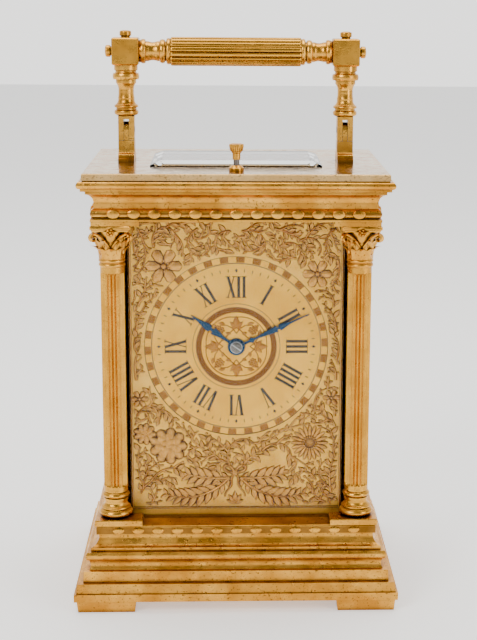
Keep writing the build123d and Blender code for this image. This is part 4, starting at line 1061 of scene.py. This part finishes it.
# %% Growing the stems and their leaves
def grow(start, heading, curl, length, parent, number):
    """Follow a stem that curls tighter as it goes, until it meets something."""
    x, z = start
    path = [(x, z, heading)]
    for k in range(int(length / step)):
        heading += curl * step * (1 + 1.4 * k * step / length)
        x, z = along(x, z, heading, step)
        ahead = along(x, z, heading, step * 2)
        own = (number, parent) if k < 4 else (number,)
        if not free_ground(x, z, 0.4) or crowded((x, z), 1.75, own):
            break
        if k > 8 and any(hypot(px - ahead[0], pz - ahead[1]) < 1.3 for px, pz, _ in path[:-6]):
            break
        path.append((x, z, heading))
    return path


roots = [(2, 50, 60), (3, 46, 5), (2, 42, -25), (38, 90, 100), (37, 70, 95), (14, 141, -20), (2, 140, 10),
         (36, 112, 95), (36, 40, 100), (36, 141, 225), (12, 57, 20), (20, 45, 60), (30, 45, 100),
         (22, 130, 160), (34, 36, 170), (18, 37, 60), (37, 103, 90), (37, 118, 270), (30, 134, 60),
         (9, 36, 30), (37, 84, 80), (37, 66, 90), (30, 69, 120), (18, 64, 30), (37, 52, 90)]
queue = []
for x, z, heading in roots:
    angle = radians(heading)
    queue += [((x, z), angle, -1), ((-x, z), pi - angle, -1)]
stems = []
while queue:
    start, heading, parent = queue.pop(0)
    number = len(stems)
    best = []
    for attempt in range(5):
        curl = chance.choice((-1, 1)) * chance.uniform(0.03, 0.16)
        path = grow(start, heading + chance.uniform(-0.25, 0.25), curl, chance.uniform(9, 24), parent, number)
        if len(path) > len(best):
            best = path
    if len(best) < 5:
        continue
    stems.append(best)
    for x, z, _ in best:
        claim((x, z), number)
    for x, z, angle in best[3:-1:6]:
        queue += [((x, z), angle + side * chance.uniform(0.6, 1.1), number) for side in (1, -1)]

leaf_places = []
for index, path in enumerate(stems):
    side = 1 if index % 2 else -1
    for k in list(range(1, len(path), 2)) + [len(path) - 1]:
        x, z, angle = path[k]
        side = -side
        if k < len(path) - 1:
            angle += side * chance.uniform(0.7, 1.05)
        for length in (3.6, 2.7, 2.0, 1.5):
            tip, middle = along(x, z, angle, length), along(x, z, angle, length / 2)
            if not free_ground(*tip, 0.1) or crowded(tip, 0.75, (index,)):
                continue
            if not crowded(middle, 0.7, (index,)):
                leaf_places.append(leaf_place(x, z, angle, length * 0.36, length * 0.36, 1))
                claim(tip, index)
                claim(middle, index)
                break
leaf_places += frond_leaves
print(len(stems), "stems and", len(leaf_places), "leaves")

# %% [markdown]
# ### Stems, leaves and the border
# A chaser works a leaf with two strokes beside its rib, which leaves it hollow along the middle. The stems
# are round wires that thin toward their tips, and a plain wire frames the whole ground.

# %% Stems, leaves and the border
def relief_leaf(finish):
    """A small pointed leaf lying on the ground, with a hollow along its rib. It points along Y."""
    rows = ((0.0, 0.1, 0.3), (0.25, 0.32, 0.42), (0.5, 0.36, 0.5), (0.75, 0.22, 0.42), (1.0, 0.02, 0.2))
    points = []
    for t, half, rise in rows:
        for u, lift in ((-1, -0.15), (-0.55, 1.0), (0, 0.62), (0.55, 1.0), (1, -0.15)):
            points.append((half * u * 2.4, t * 2.8, rise * lift if lift > 0 else lift))
    faces = [(a, a + 1, a + 6, a + 5) for a in range(20) if a % 5 < 4]
    return piece_from("relief_leaf", (points, faces), finish, 60)


def wires(name, paths, finish=copper_relief):
    """Round wires in the relief."""
    return sweep(name, paths, round_section(6), finish, 60)


def relief(name, shape, places, finish=copper_relief):
    """Copies of one punch in the relief."""
    return set_on_points(name, shape, places, finish, 60)


stem_paths = []
for path, girth in [(stem, 0.48) for stem in stems] + [(frond, 0.7) for frond in fronds]:
    stem_paths.append([((x, mask_y - 0.12, z), girth * (1 - 0.55 * k / len(path)))
                       for k, (x, z, _) in enumerate(path)])
frame_half, frame_low, frame_high = mask_half + 0.6, mask_low - 0.6, mask_high + 0.4
frame_corners = [(frame_half * side, height) for side, height in
                 ((-1, frame_low), (1, frame_low), (1, frame_high), (-1, frame_high))]
frame_paths = [[((x0 + (x1 - x0) * t / 8, mask_y, z0 + (z1 - z0) * t / 8), 0.42) for t in range(9)]
               for (x0, z0), (x1, z1) in zip(frame_corners, frame_corners[1:] + frame_corners[:1])]
relief_work = [wires("relief_stems", stem_paths),
               relief("relief_leaves", relief_leaf(copper_relief), leaf_places),
               wires("mask_border", frame_paths)]

# %% [markdown]
# ### Flowers and ribbon
# There are flowers of six petals, roses built up from rings of petals that shrink inward, and a daisy with a
# beaded eye. Pearls end some of the stems, and a ribbon is tied in a bow where the fronds spring.

# %% Flowers and ribbon
for name, group, petals, width, lift, eye, proud, turn, share in (
    ("six_petals", "six_petal", 6, 0.34, 0.7, 0.2, 0, 0, 1),
    ("rose_outer", "rose", 9, 0.31, 0.4, 0.3, 0, 0, 1),
    ("rose_middle", "rose", 7, 0.38, 0.4, 0.25, 0.14, 20, 0.7),
    ("rose_inner", "rose", 5, 0.48, 0.4, 0.3, 0.28, 5, 0.42),
    ("daisy", "daisy", 20, 0.12, 0.6, 0.36, 0, 0, 1),
):
    places = [on_mask(x, z, radius * share, 1, turn, proud) for x, z, radius in flower_places[group]]
    relief_work.append(relief(name, blossom(petals, 1.0, width, lift, eye, copper_relief), places))

pearls = []
for x, z, radius in flower_places["six_petal"]:
    ring = 0.3 * radius
    pearls.append(on_mask(x, z, ring, 1, 0, 0.1))
    pearls += [on_mask(x + ring * sin(k), z + ring * cos(k), 0.4 * ring, 0.8) for k in range(6)]
for x, z, radius in flower_places["daisy"]:
    pearls += [on_mask(*along(x, z, angle, 2.3), 0.85, 0.7, 0, 0.3) for angle in circle(16)]
pearls += [on_mask(path[-1][0], path[-1][1], 1.1, 0.8) for path in stems[::3]]
relief_work.append(relief("relief_pearls", dome(1.0, 1.0, 0.8, 10, copper_relief), pearls))

ribbon = []
for side in (1, -1):
    loop = []
    for k in range(17):
        t = pi * k / 16
        reach, spread = 4.6 * sin(t), radians(32) + 0.5 * cos(t)
        loop.append(((bow_x + side * reach * cos(spread), mask_y - 0.2, 48.0 + reach * sin(spread)), 0.62))
    tail = [((bow_x + side * (1.2 * t + 0.5 * sin(3 * t)), mask_y - 0.15, 47.8 - 3.1 * t), 0.6 - 0.12 * t)
            for t in [k / 4 for k in range(13)]]
    ribbon += [loop, tail]
knot = dome(2.2, 2.6, 1.0, 16, copper_relief)
relief_work += [wires("ribbon_bow", ribbon), relief("knot.001", knot, [on_mask(bow_x, bow_z, 1, 1)])]
print(len(relief_work), "pieces of relief,", len(pearls), "pearls")

# %% [markdown]
# ## Ornament in the middle of the dial
# The disc inside the chapters carries ivy: a leaf on each axis, tied by a strap, with grapes and small leaves
# between. It is far lower than the relief on the mask, because the hour hand passes close over it.

# %% Centre ornament
centre_leaves = []
grapes = []
strap = []
arc = [t / 8 for t in range(9)]
for k in range(4):
    axis = 90 * k
    for fan, size in ((0, 1.6), (-48, 1.15), (48, 1.15), (-95, 0.75), (95, 0.75)):
        centre_leaves.append((on_dial(axis, 0, 7.3), facing_front(axis + fan), (size, size, 0.45)))
    for fan in (-24, 24):
        centre_leaves.append((on_dial(axis + fan, 0, 5.2), facing_front(axis + fan * 3.0), (0.8, 0.7, 0.4)))
        centre_leaves.append((on_dial(axis + fan * 1.1, 0, 9.6), facing_front(axis + fan * 3.4),
                              (0.85, 0.85, 0.4)))
    for row, across in ((7.6, (-0.85, 0, 0.85)), (8.5, (-1.3, -0.45, 0.45, 1.3)), (9.4, (-0.85, 0, 0.85)),
                        (10.3, (-0.45, 0.45)), (11.1, (0,))):
        grapes += [(on_dial(axis + 45, shift, row), facing_front(), (0.95, 0.95, 0.3)) for shift in across]
    strap.append([(on_dial(axis + 90 * t, 0, 7.2 - 1.9 * sin(pi * t), 0.02), 0.2) for t in arc])
    strap.append([(on_dial(axis + 90 * t, 0, 5.0 + 5.2 * sin(pi * t), 0.02), 0.17) for t in arc])
    strap.append([(on_dial(axis + 45 + 60 * t, 0, 11.9 - 1.4 * t * t, 0.02), 0.17)
                  for t in [k / 8 for k in range(-6, 7)]])
centre_work = [
    relief("ivy_leaves", relief_leaf(centre_relief), centre_leaves, centre_relief),
    relief("grape_bunches", dome(1.0, 1.0, 0.8, 8, centre_relief), grapes, centre_relief),
    wires("strapwork", strap, centre_relief),
]
print(len(centre_leaves), "ivy leaves and", len(grapes), "grapes")

# %% [markdown]
# The minute hand is held by a steel collet with a domed face and a slot, pressed on the end of the centre
# arbor. It is in two halves here, with the slot as the gap between them, and it turns with the hand.

# %% Centre collet
slot_half, slot_angle, collet_out = 0.22, 35, 1.88


def half_dome(side):
    """Half of a low dome, cut along the slot."""
    points = []
    for radius, lift in ((2.0, 0.0), (2.0, 0.14), (1.6, 0.28), (0.9, 0.36)):
        for k in range(17):
            angle = pi * k / 16
            out = side * (slot_half + (radius - slot_half) * sin(angle))
            points.append(on_dial(slot_angle, radius * cos(angle), out, collet_out + lift))
    return points, tube(4, 17)


centre_collet = piece_from("centre_collet", gather([half_dome(1), half_dome(-1)]), dark_steel, 30)
print("collet", len(centre_collet.data.polygons), "faces")

# %% [markdown]
# ## Hand the pieces over
# Every piece is told which moving body it rides on, so that it follows the joints. Four of them take the
# place of a plain CAD piece, which is then left out of the picture.

# %% Hand the pieces over
for piece, node, body in (
    (fluted_columns, "columns", "root"),
    (leafy_capitals, "capitals", "root"),
    (reeded_grip, "handle_grip", "handle"),
    (reeded_button, "repeat_button", "repeater"),
):
    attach(piece, body)
    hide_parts(node)
fixed = chapter_work + relief_work + centre_work + [cornice_beads, base_studs, stud_channel, bead_channel]
for piece in fixed:
    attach(piece, "root")
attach(centre_collet, "minute_arbor")
for wire in [piece for piece in bpy.data.objects if piece.name.startswith("section")]:
    bpy.data.objects.remove(wire)
print(len(fixed), "pieces ride on the case and 3 on moving parts")

# %% [markdown]
# ## Measure and finish
# The bounds of the dressed clock are measured over every shown piece, leaving out the floor.

# %% Measure and finish
low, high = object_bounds()
